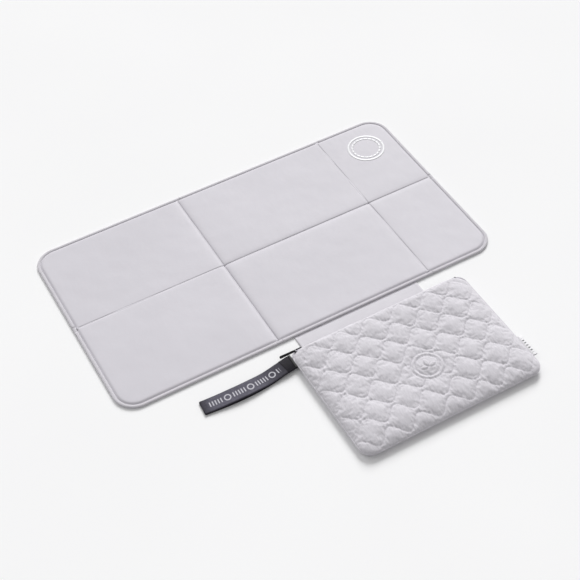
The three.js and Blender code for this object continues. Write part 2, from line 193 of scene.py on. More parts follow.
class Finish:
    """A material under construction: a Principled shader and short calls that add nodes before it."""

    def __init__(self, name, roughness, sheen=0.0, metallic=0.0):
        self.material = bpy.data.materials.new(name)
        self.material.use_nodes = True
        self.tree = self.material.node_tree
        self.inputs = self.tree.nodes["Principled BSDF"].inputs
        self.inputs["Roughness"].default_value = roughness
        self.inputs["Metallic"].default_value = metallic
        self.inputs["Sheen Weight"].default_value = sheen
        self.inputs["Sheen Roughness"].default_value = 0.5
        self.normal = None

    def feed(self, source, target):
        if isinstance(source, Value):
            self.tree.links.new(source.socket, target)
        else:
            target.default_value = source

    def add(self, kind, given, gives=0, **settings):
        """Adds a node. given holds what goes into its inputs, and gives says which output is wanted."""
        made = self.tree.nodes.new(kind)
        for key, value in settings.items():
            setattr(made, key, value)
        for key, value in given.items():
            self.feed(value, made.inputs[key])
        return Value(self, made.outputs[gives])

    def math(self, operation, a, b=0.0):
        return self.add("ShaderNodeMath", {0: a, 1: b}, operation=operation)

    def place(self, scale=(1, 1, 1), turn=0.0):
        """Places on the object in millimetres, stretched by scale."""
        coordinates = self.add("ShaderNodeTexCoord", {}, "Object")
        given = {"Vector": coordinates, "Scale": [s * 1000 for s in scale], "Rotation": (0, 0, turn)}
        return self.add("ShaderNodeMapping", given)

    def split(self, vector):
        made = self.add("ShaderNodeSeparateXYZ", {0: vector}).socket.node
        return [Value(self, made.outputs[k]) for k in (0, 1)]

    def strip(self):
        """Millimetres along a swept strip and across it."""
        return self.split(self.add("ShaderNodeTexCoord", {}, "UV"))

    def noise(self, vector, scale, detail=3.0, roughness=0.5):
        given = {"Vector": vector, "Scale": scale, "Detail": detail, "Roughness": roughness}
        return self.add("ShaderNodeTexNoise", given, "Fac")

    def ramp(self, factor, stops):
        made = self.add("ShaderNodeValToRGB", {"Fac": factor}, "Color")
        elements = made.socket.node.color_ramp.elements
        while len(elements) < len(stops):
            elements.new(0.5)
        for element, (position, colour) in zip(elements, stops):
            element.position = position
            element.color = colour
        return made

    def blotches(self, factor, first, second):
        """Soft changes between two colours."""
        return self.ramp(factor, [(0.3, first), (0.7, second)])

    def mix(self, factor, first, second):
        return self.add("ShaderNodeMix", {"Factor": factor, 6: first, 7: second}, 2, data_type="RGBA")

    def colour(self, source):
        self.feed(source, self.inputs["Base Color"])

    def bump(self, height, distance_mm, strength=1.0):
        """Adds one bump of that depth on top of the bumps already made."""
        given = {"Height": height, "Distance": distance_mm * MM, "Strength": strength}
        if self.normal is not None:
            given["Normal"] = self.normal
        self.normal = self.add("ShaderNodeBump", given)

    def weave(self, vector, pitch_mm, depth_mm, strength):
        """A plain weave: threads along X and Y that pass over each other by turns."""
        x, y = self.split(vector)
        self.bump((x.ribs(2 * pitch_mm) * y.ribs(2 * pitch_mm)).level(), depth_mm, strength)

    def done(self):
        if self.normal is not None:
            self.feed(self.normal, self.inputs["Normal"])
        return self.material


def cloth(name, colour, roughness, weave_mm, depth_mm):
    """Plain woven cloth with broad, faint changes of tone and finer flecks."""
    made = Finish(name, roughness, sheen=0.15)
    place = made.place()
    base = made.blotches(made.noise(place, 0.012, 4), shade(colour, 0.96), shade(colour, 1.02))
    made.colour(made.mix(made.noise(place, 1.3, 2) * 0.16, base, shade(colour, 0.82)))
    made.bump(made.noise(place, 0.09, 4), 0.35, 0.5)
    made.weave(place, weave_mm, depth_mm, 0.6)
    return made.done()


def coated_cover():
    """Wipeable coating over a fine weave: smooth, softly shiny, with faint handling creases."""
    colour = srgb(208, 205, 212)
    made = Finish("coated_cover", 0.58, sheen=0.1)
    place = made.place()
    base = made.blotches(made.noise(place, 0.006, 3), shade(colour, 0.965), shade(colour, 1.02))
    scuff = made.noise(made.place((1, 0.25, 1), turn=0.5), 0.22, 5, 0.65)
    made.colour(made.mix(scuff * 0.12, base, shade(colour, 0.86)))
    made.feed(scuff * 0.14 + 0.52, made.inputs["Roughness"])
    made.bump(made.noise(place, 0.035, 4, 0.55), 0.7, 0.35)
    made.weave(place, 0.55, 0.03, 0.35)
    return made.done()


def melange_jersey():
    """Brushed knit of light and darker grey fibres, with fine wales along Y."""
    colour = srgb(216, 213, 219)
    made = Finish("melange_jersey", 0.92, sheen=0.35)
    place = made.place()
    streaks = made.noise(made.place((1.0, 0.22, 1.0), turn=0.15), 0.55, 5, 0.7)
    light = made.blotches(made.noise(place, 0.03, 3), colour, shade(colour, 1.09))
    dark = made.ramp(streaks, [(0.42, shade(colour, 0.76)), (0.6, shade(colour, 1.06))])
    speck = made.ramp(made.noise(place, 1.1, 3, 0.6), [(0.3, WHITE), (0.46, BLACK)])
    made.colour(made.mix(speck * 0.28, made.mix(0.4, light, dark), shade(colour, 0.55)))
    x, y = made.split(place)
    wale_pitch, course_pitch = 0.95, 0.7
    made.bump(x.ribs(wale_pitch) + y.ribs(course_pitch) * 0.5, 0.05, 0.35)
    made.bump(made.noise(place, 1.6, 4, 0.7), 0.28, 0.5)
    return made.done()


def ribbed_tape():
    """Binding tape: fine ribs across its length, with painted shade in the grooves between them."""
    colour = srgb(222, 219, 225)
    made = Finish("binding_tape", 0.8, sheen=0.2)
    along, _ = made.strip()
    rib = along.ribs(1.35).level()
    fuzz = made.noise(made.place(), 0.9, 3)
    # Painted shade: the colour darkens in each groove between ribs, where the rib bump is low.
    base = made.ramp(rib, [(0.0, shade(colour, 0.72)), (0.6, shade(colour, 1.03))])
    made.colour(made.mix(fuzz * 0.24, base, shade(colour, 0.75)))
    made.bump(rib, 0.3, 0.7)
    made.bump(fuzz, 0.25, 0.4)
    return made.done()


# The strap's print, in millimetres. Rings stand one pitch apart, counted from FIRST_RING, with bars between.
RING_PITCH = 38.0
FIRST_RING = -2.0
RING_RADII = (3.7, 5.6)
BARS_AT = 14.5
BARS_REACH = 6.0
BAR_STEP = 2.25
BAR_HALF = 0.9
BAR_REACH = 4.2
PRINTED_SPAN = (156.0, 278.0)
SELVEDGE_FROM = 11.2


def strap_webbing(name, colour, marked):
    """Webbing with cross ribs and a darker edge. Marked webbing has a printed row of rings and short bars."""
    made = Finish(name, 0.8, sheen=0.05)
    made.inputs["Specular IOR Level"].default_value = 0.2
    along, across = made.strip()
    twill = (across + along * 0.5).ribs(1.848)
    height = along.ribs(1.5) * 0.35 + twill * 0.2
    base = made.blotches(made.noise(made.place(), 0.25, 4), shade(colour, 0.82), shade(colour, 1.18))
    selvedge = abs(across) > SELVEDGE_FROM
    base = made.mix(selvedge * 0.6, base, srgb(44, 42, 50))
    if marked:
        # Painted shade: darker on the lower ply, which lies under the upper one, and round the loop's nose
        # where it folds. Also darker on the third of the strap that lies next to its root.
        loop_mm = 300.0
        stops = [(0.495, WHITE), (0.545, BLACK), (0.78, BLACK), (0.95, WHITE)]
        painted_fold_shade_and_darker_root = made.ramp(along * (1 / loop_mm), stops)
        base = made.mix(painted_fold_shade_and_darker_root * 0.8, base, srgb(46, 44, 51))
        base = made.mix(printed_row(along, across) * 0.92, base, srgb(208, 207, 214))
    made.colour(base)
    made.bump(height, 0.22, 0.8)
    made.bump(made.noise(made.place(), 1.4, 3), 0.12, 0.4)
    return made.done()


def printed_row(along, across):
    """Rings with short bars between them, on the strap's upper side only."""
    from_ring = (along - FIRST_RING).folded(RING_PITCH / 2)
    radius = (from_ring ** 2.0 + across ** 2.0) ** 0.5
    ring = (radius > RING_RADII[0]) * (radius < RING_RADII[1])
    from_bars = abs(from_ring - BARS_AT)
    bars = (from_bars.folded(BAR_STEP) < BAR_HALF) * (from_bars < BARS_REACH) * (abs(across) < BAR_REACH)
    return (ring + bars) * (along > PRINTED_SPAN[0]) * (along < PRINTED_SPAN[1])


def thread(name, colour):
    """Twisted sewing thread."""
    made = Finish(name, 0.6, sheen=0.05)
    twist = made.noise(made.place((1.0, 0.3, 1.0)), 2.2, 2)
    made.colour(made.blotches(twist, shade(colour, 0.8), shade(colour, 1.1)))
    made.bump(twist, 0.1, 0.5)
    return made.done()


def dark_enamel():
    """Satin black enamel, worn a little paler where it is handled."""
    made = Finish("dark_enamel", 0.36, metallic=0.35)
    place = made.place()
    wear = made.noise(place, 0.5, 5, 0.7)
    made.colour(made.ramp(wear, [(0.45, srgb(30, 29, 33)), (0.72, srgb(62, 61, 66))]))
    made.bump(made.noise(place, 1.6, 3), 0.05, 0.3)
    return made.done()


def nylon():
    made = Finish("zip_nylon", 0.34)
    tint = made.noise(made.place(), 0.3, 3)
    made.colour(made.blotches(tint, srgb(168, 165, 174), srgb(190, 187, 196)))
    made.bump(tint, 0.05, 0.3)
    return made.done()


def satin_label():
    """White satin label with a few plain woven bars."""
    made = Finish("label_satin", 0.42, sheen=0.3)
    along, across = made.strip()
    bars = (along.folded(2.6) < 1.1) * (abs(across - 4.6) < 1.7) * (abs(along) < 15.0)
    base = made.blotches(made.noise(made.place(), 0.4, 3), srgb(222, 221, 224), srgb(238, 237, 240))
    made.colour(made.mix(bars, base, srgb(70, 69, 74)))
    made.bump(along.ribs(0.698), 0.05, 0.5)
    return made.done()


def print_white():
    made = Finish("print_white", 0.5)
    tint = made.noise(made.place(), 0.8, 4)
    made.colour(made.ramp(tint, [(0.25, srgb(236, 235, 240)), (0.6, srgb(251, 251, 253))]))
    made.bump(tint, 0.04, 0.3)
    return made.done()


COATED = coated_cover()
UNDERSIDE = cloth("underside_cloth", srgb(200, 197, 205), 0.85, 0.6, 0.06)
FLAP_CLOTH = cloth("flap_cloth", srgb(220, 217, 223), 0.72, 0.5, 0.05)
LINING = cloth("lining_cloth", srgb(186, 183, 191), 0.7, 0.5, 0.04)
ZIP_TAPE = cloth("zip_tape", srgb(182, 179, 188), 0.8, 0.5, 0.08)
JERSEY = melange_jersey()
BINDING = ribbed_tape()
WEBBING = strap_webbing("strap_webbing", srgb(98, 96, 108), True)
SLEEVE = strap_webbing("sleeve_webbing", srgb(37, 35, 41), False)
BAR_TACK = thread("bar_tack", srgb(14, 13, 16))
PALE_THREAD = thread("pale_thread", srgb(172, 169, 177))
ENAMEL = dark_enamel()
NYLON = nylon()
LABEL = satin_label()
PRINT = print_white()


# ---------------------------------------------------------------- mesh helpers
def between(start, end, count):
    """Evenly spaced values or places, count steps from start to end."""
    return [start + (end - start) * (k / count) for k in range(count + 1)]


def make_piece(name, points, faces, materials, uvs=None, face_materials=None, smooth=None):
    """A mesh piece in the row frame. uvs holds a pair for each point, smooth a flag for each face."""
    mesh = bpy.data.meshes.new(name)
    mesh.from_pydata([tuple(p) for p in points], [], [tuple(f) for f in faces])
    for material in materials:
        mesh.materials.append(material)
    if face_materials is not None:
        mesh.polygons.foreach_set("material_index", face_materials)
    if uvs is not None:
        layer = mesh.uv_layers.new(name="length")
        corners = np.zeros(len(mesh.loops), dtype=np.int32)
        mesh.loops.foreach_get("vertex_index", corners)
        layer.data.foreach_set("uv", np.asarray(uvs, np.float32)[corners].ravel())
    mesh.polygons.foreach_set("use_smooth", smooth or [True] * len(faces))
    mesh.update()
    return show(name, mesh)


def show(name, mesh):
    made = bpy.data.objects.new(name, mesh)
    bpy.context.scene.collection.objects.link(made)
    return made


def settle(made, body, slot_name, *nodes):
    """Says which body a piece rides on and which CAD nodes it stands for, and hides those nodes. slot_name is
    not used.
    """
    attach(made, body)
    if nodes:
        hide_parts(*nodes)


def fix_normals(made):
    work = bmesh.new()
    work.from_mesh(made.data)
    bmesh.ops.recalc_face_normals(work, faces=work.faces)
    work.to_mesh(made.data)
    work.free()


def band_faces(first, second):
    """Quads between two closed loops of point numbers."""
    around = list(first[1:]) + [first[0]]
    below = list(second[1:]) + [second[0]]
    return list(zip(first, second, below, around))


def tube_faces(count, size, start=0):
    """A skin over count rings of that many points, closed at both ends."""
    rings = [range(start + k * size, start + (k + 1) * size) for k in range(count)]
    faces = [rings[0], rings[-1]]
    for first, second in zip(rings, rings[1:]):
        faces += band_faces(first, second)
    return faces


def skin(name, rings, material, uvs=None):
    """A closed piece over rings of points."""
    points = [place for ring in rings for place in ring]
    made = make_piece(name, points, tube_faces(len(rings), len(rings[0])), [material], uvs)
    fix_normals(made)
    return made


def sweep(name, path, section, material):
    """Sweeps a closed section along a path. Path points are (point, side, up), section points (side, up)."""
    rings, uvs = [], []
    length = 0.0
    for k, (point, side, up) in enumerate(path):
        length += (point - path[max(k - 1, 0)][0]).length
        rings.append([point + side * s + up * u for s, u in section])
        uvs += [(length / MM, s / MM) for s, _ in section]
    return skin(name, rings, material, uvs)


def straight(start, end, side, step):
    """Sweep points along a level line."""
    count = max(1, round((end - start).length / step))
    return [(place, side, UP) for place in between(start, end, count)]


def round_section(radius_side, radius_up, sides=10):
    turns = [2 * math.pi * k / sides for k in range(sides)]
    return [(radius_side * math.cos(t), radius_up * math.sin(t)) for t in turns]


def grid(first, second):
    return np.meshgrid(first, second, indexing="ij")


def rim_places(nx, ny):
    """The places (i, j) round the edge of a grid, anticlockwise."""
    out = [(i, 0) for i in range(nx)] + [(nx, j) for j in range(ny)]
    return out + [(i, ny) for i in range(nx, 0, -1)] + [(0, j) for j in range(ny, 0, -1)]


def grid_faces(nx, ny, start=0, flip=False):
    row = ny + 1
    corners = [start + i * row + j for i in range(nx) for j in range(ny)]
    quads = [(a, a + row, a + row + 1, a + 1) for a in corners]
    return [quad[::-1] for quad in quads] if flip else quads


def closed_faces(nx, ny, start=0, ring_count=0):
    """Faces of a closed form: a top grid, a bottom grid, then rings of points down the edge between them."""
    size = (nx + 1) * (ny + 1)
    top_edge = [start + i * (ny + 1) + j for i, j in rim_places(nx, ny)]
    count = len(top_edge)
    first = start + 2 * size
    rings = [range(first + k * count, first + (k + 1) * count) for k in range(ring_count)]
    loops = [top_edge, *rings, [k + size for k in top_edge]]
    faces = grid_faces(nx, ny, start) + grid_faces(nx, ny, start + size, flip=True)
    for upper, lower in zip(loops, loops[1:]):
        faces += band_faces(upper, lower)
    return faces


def closed_form(name, x, y, top, bottom, materials, rings=(), crisp=False):
    """A piece between two grids of points, given by their places and heights, with rings down its edge.

    The last material goes on the bottom. A crisp piece's edge is flat shaded, and doesn't darken its face.
    """
    nx, ny = x.shape[0] - 1, x.shape[1] - 1
    grids = [np.stack([x, y, z], -1).reshape(-1, 3) for z in (top, bottom)]
    faces = closed_faces(nx, ny, ring_count=len(rings))
    cells = nx * ny
    edge = len(faces) - 2 * cells
    slots = [0] * cells + [len(materials) - 1] * cells + [0] * edge
    smooth = [True] * (2 * cells) + [not crisp] * edge
    points = np.vstack([*grids, *rings])
    return make_piece(name, points, faces, materials, face_materials=slots, smooth=smooth)


def corner_centres(box, radii):
    """Centre, direction out and radius of each corner: front left, front right, back right, back left."""
    x0, x1, y0, y1 = box
    corners = ((x0, y0, -1, -1), (x1, y0, 1, -1), (x1, y1, 1, 1), (x0, y1, -1, 1))
    return [(x - sx * r, y - sy * r, sx, sy, r) for (x, y, sx, sy), r in zip(corners, radii)]


def outline_depth(x, y, box, radii):
    """How far each place lies inside a rectangle with rounded corners."""
    middle_x, middle_y = (box[0] + box[1]) / 2, (box[2] + box[3]) / 2
    found = np.zeros_like(x)
    for cx, cy, sx, sy, radius in corner_centres(box, radii):
        quarter = ((x - middle_x) * sx >= 0) & ((y - middle_y) * sy >= 0)
        qx = (x - cx) * sx
        qy = (y - cy) * sy
        outside = np.hypot(np.maximum(qx, 0), np.maximum(qy, 0)) + np.minimum(np.maximum(qx, qy), 0)
        found = np.where(quarter, radius - outside, found)
    return found


class Patch:
    """A grid over a rectangle whose corners are rounded: grid lines bend round each corner."""

    def __init__(self, x0, x1, y0, y1, radii, step):
        self.nx = 2 * max(1, round((x1 - x0) / step / 2))
        self.ny = 2 * max(1, round((y1 - y0) / step / 2))
        xs, ys = grid(np.linspace(x0, x1, self.nx + 1), np.linspace(y0, y1, self.ny + 1))
        self.corners = corner_centres((x0, x1, y0, y1), radii)
        for cx, cy, sx, sy, radius in self.corners:
            if radius <= 0:
                continue
            a = (xs - cx) * sx / radius
            b = (ys - cy) * sy / radius
            inside = (a > 1e-6) & (b > 1e-6)
            factor = np.where(inside, np.maximum(a, b) / np.maximum(np.hypot(a, b), 1e-9), 1)
            xs = np.where(inside, cx + sx * a * factor * radius, xs)
            ys = np.where(inside, cy + sy * b * factor * radius, ys)
        self.x, self.y = xs, ys

    def rim(self):
        """Grid places round the edge, anticlockwise, with the outward direction at each."""
        found = []
        for i, j in rim_places(self.nx, self.ny):
            outward = Vector((0, 0))
            for cx, cy, sx, sy, radius in self.corners:
                dx, dy = (self.x[i, j] - cx) * sx, (self.y[i, j] - cy) * sy
                if radius > 0 and dx > 1e-7 and dy > 1e-7:
                    outward = Vector((dx * sx, dy * sy)).normalized()
            if outward.length == 0:
                outward = Vector(((i == self.nx) - (i == 0), (j == self.ny) - (j == 0)))
            found.append((i, j, outward))
        return found

    def on_rim(self, field):
        """The values of a grid round its edge."""
        return np.array([field[i, j] for i, j in rim_places(self.nx, self.ny)])

    def ring(self, outward, heights):
        """Points that far outside the edge, at those heights."""
        return [
            (self.x[i, j] + out.x * outward, self.y[i, j] + out.y * outward, height)
            for (i, j, out), height in zip(self.rim(), heights)
        ]


def rise(distance, width):
    """A quarter round: 0 at distance 0, 1 from width on."""
    t = np.clip(distance / width, 0, 1)
    return np.sqrt(np.maximum(0, 1 - (1 - t) ** 2))


def ripple(x, y, scale_mm, seed):
    """Smooth noise, about -1 to 1, over arrays of places in metres."""
    scale = scale_mm * MM
    flat = [noise.noise(Vector((a / scale, b / scale, seed))) for a, b in zip(x.ravel(), y.ravel())]
    return np.array(flat).reshape(x.shape)


# ---------------------------------------------------------------- the mat's panels
PAD_STEP = 2 * MM
TUCK = 3.8 * MM  # how far inside the mat's edge a cover ends, under the binding
CREASE_HALF = 0.7 * MM  # half the gap between two pads at a crease
CREASE_SLOPE = 3.2 * MM
BROAD_CREASE = 14 * MM
EDGE_FLAT = 1.8 * MM  # the flat flange of a cover, mostly under the binding
EDGE_SLOPE = 4.2 * MM
PAD_LOW = 1.7 * MM
PAD_UNDER = 0.2 * MM
FAR_OFF = 1.0
# How deep each crease is pressed in, below the pads' tops.
CREASE_DEPTH = {
    "near_left": 1.3 * MM,
    "far_left": 1.05 * MM,
    "near_right": 0.45 * MM,
    "far_right": 0.06 * MM,
    "row_left": 0.2 * MM,
    "row_center": 0.9 * MM,
    "row_right": 0.75 * MM,
}


def pad_sides(row, column):
    """The depth of the crease on a panel's left, right, front and back. None stands for the mat's edge."""
    on_left = CREASE_DEPTH[f"{row}_left"]
    on_right = CREASE_DEPTH[f"{row}_right"]
    in_row = CREASE_DEPTH[f"row_{column}"]
    return (
        {"left": None, "center": on_left, "right": on_right}[column],
        {"left": on_left, "center": on_right, "right": None}[column],
        None if row == "near" else in_row,
        None if row == "far" else in_row,
    )


def crease_dip(distance, depth):
    """How far a crease of that depth lowers what lies at that distance from it."""
    narrow = depth * np.exp(-distance / CREASE_SLOPE)
    broad = (0.25 * depth + 0.12 * MM) * np.exp(-distance / BROAD_CREASE)
    return narrow + broad


def pad_top(patch, box, sides, radii):
    """The height of a pad's face: it slopes down at the mat's edge and dips towards its creases."""
    x0, x1, y0, y1 = box
    # The slope counts from the mat's own edge only, so the outline is moved far off at each crease.
    off = [0 if depth is None else FAR_OFF for depth in sides]
    outline = (x0 - off[0], x1 + off[1], y0 - off[2], y1 + off[3])
    inside = outline_depth(patch.x, patch.y, outline, radii) - EDGE_FLAT
    edge = 0.88 * rise(inside, EDGE_SLOPE) + 0.12 * rise(inside, 3.5 * EDGE_SLOPE)
    top = PAD_LOW + (PAD_TOP - PAD_LOW) * edge
    for depth, distance in zip(sides, (patch.x - x0, x1 - patch.x, patch.y - y0, y1 - patch.y)):
        if depth is not None:
            top = top - crease_dip(distance, depth) * edge
    waves = ripple(patch.x, patch.y, 70, 1.0) * 0.34 + ripple(patch.x, patch.y, 24, 2.0) * 0.16
    return np.minimum(top - (0.38 - waves) * MM * edge, PAD_TOP + 0.1 * MM)


def make_pad(row, column):
    sides = pad_sides(row, column)
    inset = [TUCK if depth is None else CREASE_HALF for depth in sides]
    x0 = COLUMN_SPAN[column][0] + inset[0]
    x1 = COLUMN_SPAN[column][1] - inset[1]
    y0 = ROW_SPAN[row][0] + inset[2]
    y1 = ROW_SPAN[row][1] - inset[3]
    left, right, front, back = (depth is None for depth in sides)
    rounded = (left and front, right and front, right and back, left and back)
    radii = [(MAT_RADIUS - TUCK) * corner for corner in rounded]
    patch = Patch(x0, x1, y0, y1, radii, PAD_STEP)
    top = pad_top(patch, (x0, x1, y0, y1), sides, radii)
    rim_top = patch.on_rim(top)
    rings = [
        patch.ring(0.25 * MM, rim_top * 0.8 + PAD_UNDER * 0.2),
        patch.ring(0.3 * MM, rim_top * 0.5 + PAD_UNDER * 0.5),
        patch.ring(0.2 * MM, np.full_like(rim_top, PAD_UNDER + 0.35 * MM)),
    ]
    panel = f"{row}_{column}"
    bottom = np.full_like(top, PAD_UNDER)
    cloths = [COATED, UNDERSIDE]
    made = closed_form(f"mat_pad_{panel}", patch.x, patch.y, top, bottom, cloths, rings, crisp=True)
    nodes = (f"top_cover_{panel}", f"foam_insert_{panel}", f"bottom_cover_{panel}")
    settle(made, panel, "coated_cover", *nodes)


# ---------------------------------------------------------------- edge binding
# Section of the folded tape in millimetres: how far in from the mat's edge, and how high.
BINDING_SECTION_MM = [
    (5.5, 0.35), (4.0, 0.12), (1.6, 0.10), (0.45, 0.55), (0.0, 1.5), (0.05, 2.5),
    (0.6, 3.3), (1.6, 3.7), (3.0, 3.8), (4.4, 3.6), (5.3, 3.05), (5.6, 2.5), (5.3, 1.4),
]
BINDING_SECTION = [(s * MM, z * MM) for s, z in BINDING_SECTION_MM]
BINDING_STEP = 3 * MM
BRIDGE_STEP = 0.5 * MM
BRIDGE_HALF = 5 * MM
CORNER_STEPS = 14


def panel_edge(row, column):
    """Sweep points along a panel's stretch of the mat's edge, anticlockwise, short of the creases."""
    y_sign = ROW_SIGN[row]
    y = MAT_Y[y_sign > 0]
    inward = Vector((0, -y_sign, 0))
    if column == "center":
        ends = [Vector((x, y, 0)) for x in (CREASE_X[0] + BRIDGE_HALF, CREASE_X[1] - BRIDGE_HALF)]
        return straight(*ends[::-y_sign], inward, BINDING_STEP)
    x_sign = SIDE_SIGN[column]
    x = MAT_X[x_sign > 0]
    centre = Vector((x - x_sign * MAT_RADIUS, y - y_sign * MAT_RADIUS, 0))
    first = Vector((x, CREASE_Y + y_sign * BRIDGE_HALF, 0))
    last = Vector((CREASE_X[x_sign > 0] + x_sign * BRIDGE_HALF, y, 0))
    path = straight(first, Vector((x, centre.y, 0)), Vector((-x_sign, 0, 0)), BINDING_STEP)
    for k in range(1, CORNER_STEPS):
        angle = math.pi / 2 * k / CORNER_STEPS
        out = Vector((x_sign * math.cos(angle), y_sign * math.sin(angle), 0))
        path.append((centre + out * MAT_RADIUS, -out, UP))
    path += straight(Vector((centre.x, y, 0)), last, inward, BINDING_STEP)
    return path[::x_sign * y_sign]


def make_binding(row, column):
    panel = f"{row}_{column}"
    made = sweep(f"edge_tape_{panel}", panel_edge(row, column), BINDING_SECTION, BINDING)
    settle(made, panel, "binding_tape", f"edge_binding_{panel}")


def cross(made, bodies):
    """Where one joint joins the two bodies, bakes the piece's placement into its mesh and leaves it on no
    body; otherwise leaves it on the first.
    """
    if any(set(bodies) == {j["parent"], j["child"]} for j in frame["joints"]):
        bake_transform(made)
    else:
        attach(made, bodies[0])


def make_bridge(name, place, along, inward, bodies):
    """The short stretch of binding that crosses a crease."""
    start = place - along * BRIDGE_HALF
    end = place + along * BRIDGE_HALF
    made = sweep(name, straight(start, end, inward, BRIDGE_STEP), BINDING_SECTION, BINDING)
    cross(made, bodies)


def make_bridges():
    for column, x_sign in SIDE_SIGN.items():
        for row, y_sign in ROW_SIGN.items():
            place = Vector((CREASE_X[x_sign > 0], MAT_Y[y_sign > 0], 0))
            outward, inward = Vector((x_sign, 0, 0)), Vector((0, -y_sign, 0))
            bodies = (f"{row}_center", f"{row}_{column}")
            make_bridge(f"edge_bridge_{row}_{column}", place, outward, inward, bodies)
    for column, x_sign in SIDE_SIGN.items():
        place = Vector((MAT_X[x_sign > 0], CREASE_Y, 0))
        bodies = (f"near_{column}", f"far_{column}")
        make_bridge(f"edge_bridge_row_{column}", place, Vector((0, 1, 0)), Vector((-x_sign, 0, 0)), bodies)


# ---------------------------------------------------------------- creases
STRIP_HALF = 2.4 * MM  # half a crease strip's width, so that it reaches into both pads' edges
STRIP_COLUMNS = 16
STRIP_STEP = 2 * MM
MAT_END_GAP = 6.0 * MM  # how far a strip stops short of the mat's edge
CROSSING_GAP = 0.6 * MM  # and of a crossing


def make_crease(name, start, end, bodies, crossed):
    """A strip along a crease, from start to end, that reaches across its width into both pads' edges.

    crossed holds the depth of the crease that it meets at its start and at its end.
    """
    length = (end - start).length
    direction = (end - start) / length
    side = Vector((-direction.y, direction.x, 0)) * STRIP_HALF
    rows = max(2, round(length / STRIP_STEP))
    along, across = grid(np.linspace(0, length, rows + 1), np.linspace(-1, 1, STRIP_COLUMNS + 1))
    depth = CREASE_DEPTH[name]
    arch = np.cos(across * math.pi / 2)
    groove = 0.04 * MM + 0.22 * depth
    shoulder = PAD_TOP - 0.4 * MM - 1.3 * depth
    dip = crease_dip(along, crossed[0]) + crease_dip(length - along, crossed[1])
    top = shoulder - dip - groove * arch - 0.3 * MM * (1 - arch)
    bottom = 0.35 * MM - 0.25 * MM * arch
    x = start.x + direction.x * along + side.x * across
    y = start.y + direction.y * along + side.y * across
    made = closed_form(f"crease_{name}", x, y, top, bottom, [COATED, UNDERSIDE])
    fix_normals(made)
    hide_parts(f"crease_web_{name}")
    cross(made, bodies)


def make_creases():
    for column, x_sign in SIDE_SIGN.items():
        x = CREASE_X[x_sign > 0]
        for row, y_sign in ROW_SIGN.items():
            at_edge = Vector((x, MAT_Y[y_sign > 0] - y_sign * MAT_END_GAP, 0))
            at_crossing = Vector((x, CREASE_Y + y_sign * CROSSING_GAP, 0))
            row_depth = max(CREASE_DEPTH["row_center"], CREASE_DEPTH[f"row_{column}"])
            # The strip runs so that the middle panel lies on its left.
            order = -x_sign * y_sign
            start, end = (at_edge, at_crossing)[::order]
            crossed = (0, row_depth)[::order]
            make_crease(f"{row}_{column}", start, end, (f"{row}_center", f"{row}_{column}"), crossed)
    for column in COLUMNS:
        x0 = COLUMN_SPAN[column][0] + (MAT_END_GAP if column == "left" else CROSSING_GAP)
        x1 = COLUMN_SPAN[column][1] - (MAT_END_GAP if column == "right" else CROSSING_GAP)
        left, right = (max(CREASE_DEPTH[f"{row}_{side}"] for row in ROW_SIGN) for side in SIDE_SIGN)
        crossed = {"left": (left, 0), "center": (right, left), "right": (0, right)}[column]
        start, end = Vector((x1, CREASE_Y, 0)), Vector((x0, CREASE_Y, 0))
        make_crease(f"row_{column}", start, end, (f"near_{column}", f"far_{column}"), crossed)


for row_name in ROW_SIGN:
    for column_name in COLUMNS:
        make_pad(row_name, column_name)
        make_binding(row_name, column_name)
make_bridges()
make_creases()


# ---------------------------------------------------------------- the pouch's quilting
WAVE_LENGTH = 51.5 * MM
WAVE_HEIGHT = 10 * MM
WAVE_SPACING = 26.4 * MM
WAVE_CREST_X = POUCH_X0 + 27.7 * MM
WAVE_FIRST_Y = POUCH_LIP - 14.1 * MM
WAVE_ROWS = 9
WAVE_STRAY = 1.1 * MM  # how far a hand-fed line strays along Y
WAVE_DRIFT = 0.22  # and how far its crests drift, in radians of a wave
PUFF = 1.8 * MM
PUFF_STEEP = 1.2 * MM  # how far from a seam the cloth has come up steeply
PUFF_REACH = 8.5 * MM  # and how far it goes on rising
PUCKER_REACH = 6 * MM
BADGE = (POUCH_X0 + 160.5 * MM, POUCH_Y0 + 89 * MM)
BADGE_RADIUS = 25 * MM
BADGE_DISC = 18 * MM
BADGE_PUFF_REACH = 2 * MM
BADGE_RING = 21.5 * MM
BADGE_RING_WIDTH = 1.6 * MM
BADGE_RING_HEIGHT = 0.5 * MM
BADGE_LEAVES = ((90, 15.5 * MM), (15, 13 * MM), (165, 13 * MM))  # direction in degrees, and length
LEAF_ROOT = -4 * MM  # where the sprout starts, from the badge's middle
LEAF_HEIGHT = 1.2 * MM
LEAF_SLOPE = 1.1 * MM
LEAF_GROOVE = 0.4 * MM
LEAF_GROOVE_WIDTH = 0.7 * MM
POUCH_MOUTH = POUCH_LIP + 3.5 * MM  # where the rounded outline would close
LIP_Y = POUCH_MOUTH - 1.6 * MM  # the padded front's mouth edge, before it bulges
LIP_Z = 12.2 * MM
LIP_UNDER = 11.5 * MM
LIP_ROLL = 13 * MM
LIP_BULGE = 0.5 * MM
LIP_WANDER = 1.6 * MM  # how far the quilted edge wanders along the mouth
CAVITY_TOP = 9.3 * MM
HOLLOW_INSET = 7.5 * MM
POUCH_RADIUS = 20 * MM
MOUTH_RADIUS = 13 * MM
SEAM_Z = 6.6 * MM  # the seam between front and back, at the pouch's outline
BACK_PLY = 1.15 * MM
UNDER_ROLL = 15 * MM  # how far in the back panel comes down to the floor
EDGE_ROUND = 10 * MM
ROUND_OVER = 44 * MM
BROAD_DOME = 100 * MM
SLACK_ROOM = 1.2 * MM  # kept free over the puffs for the cloth's slack waves


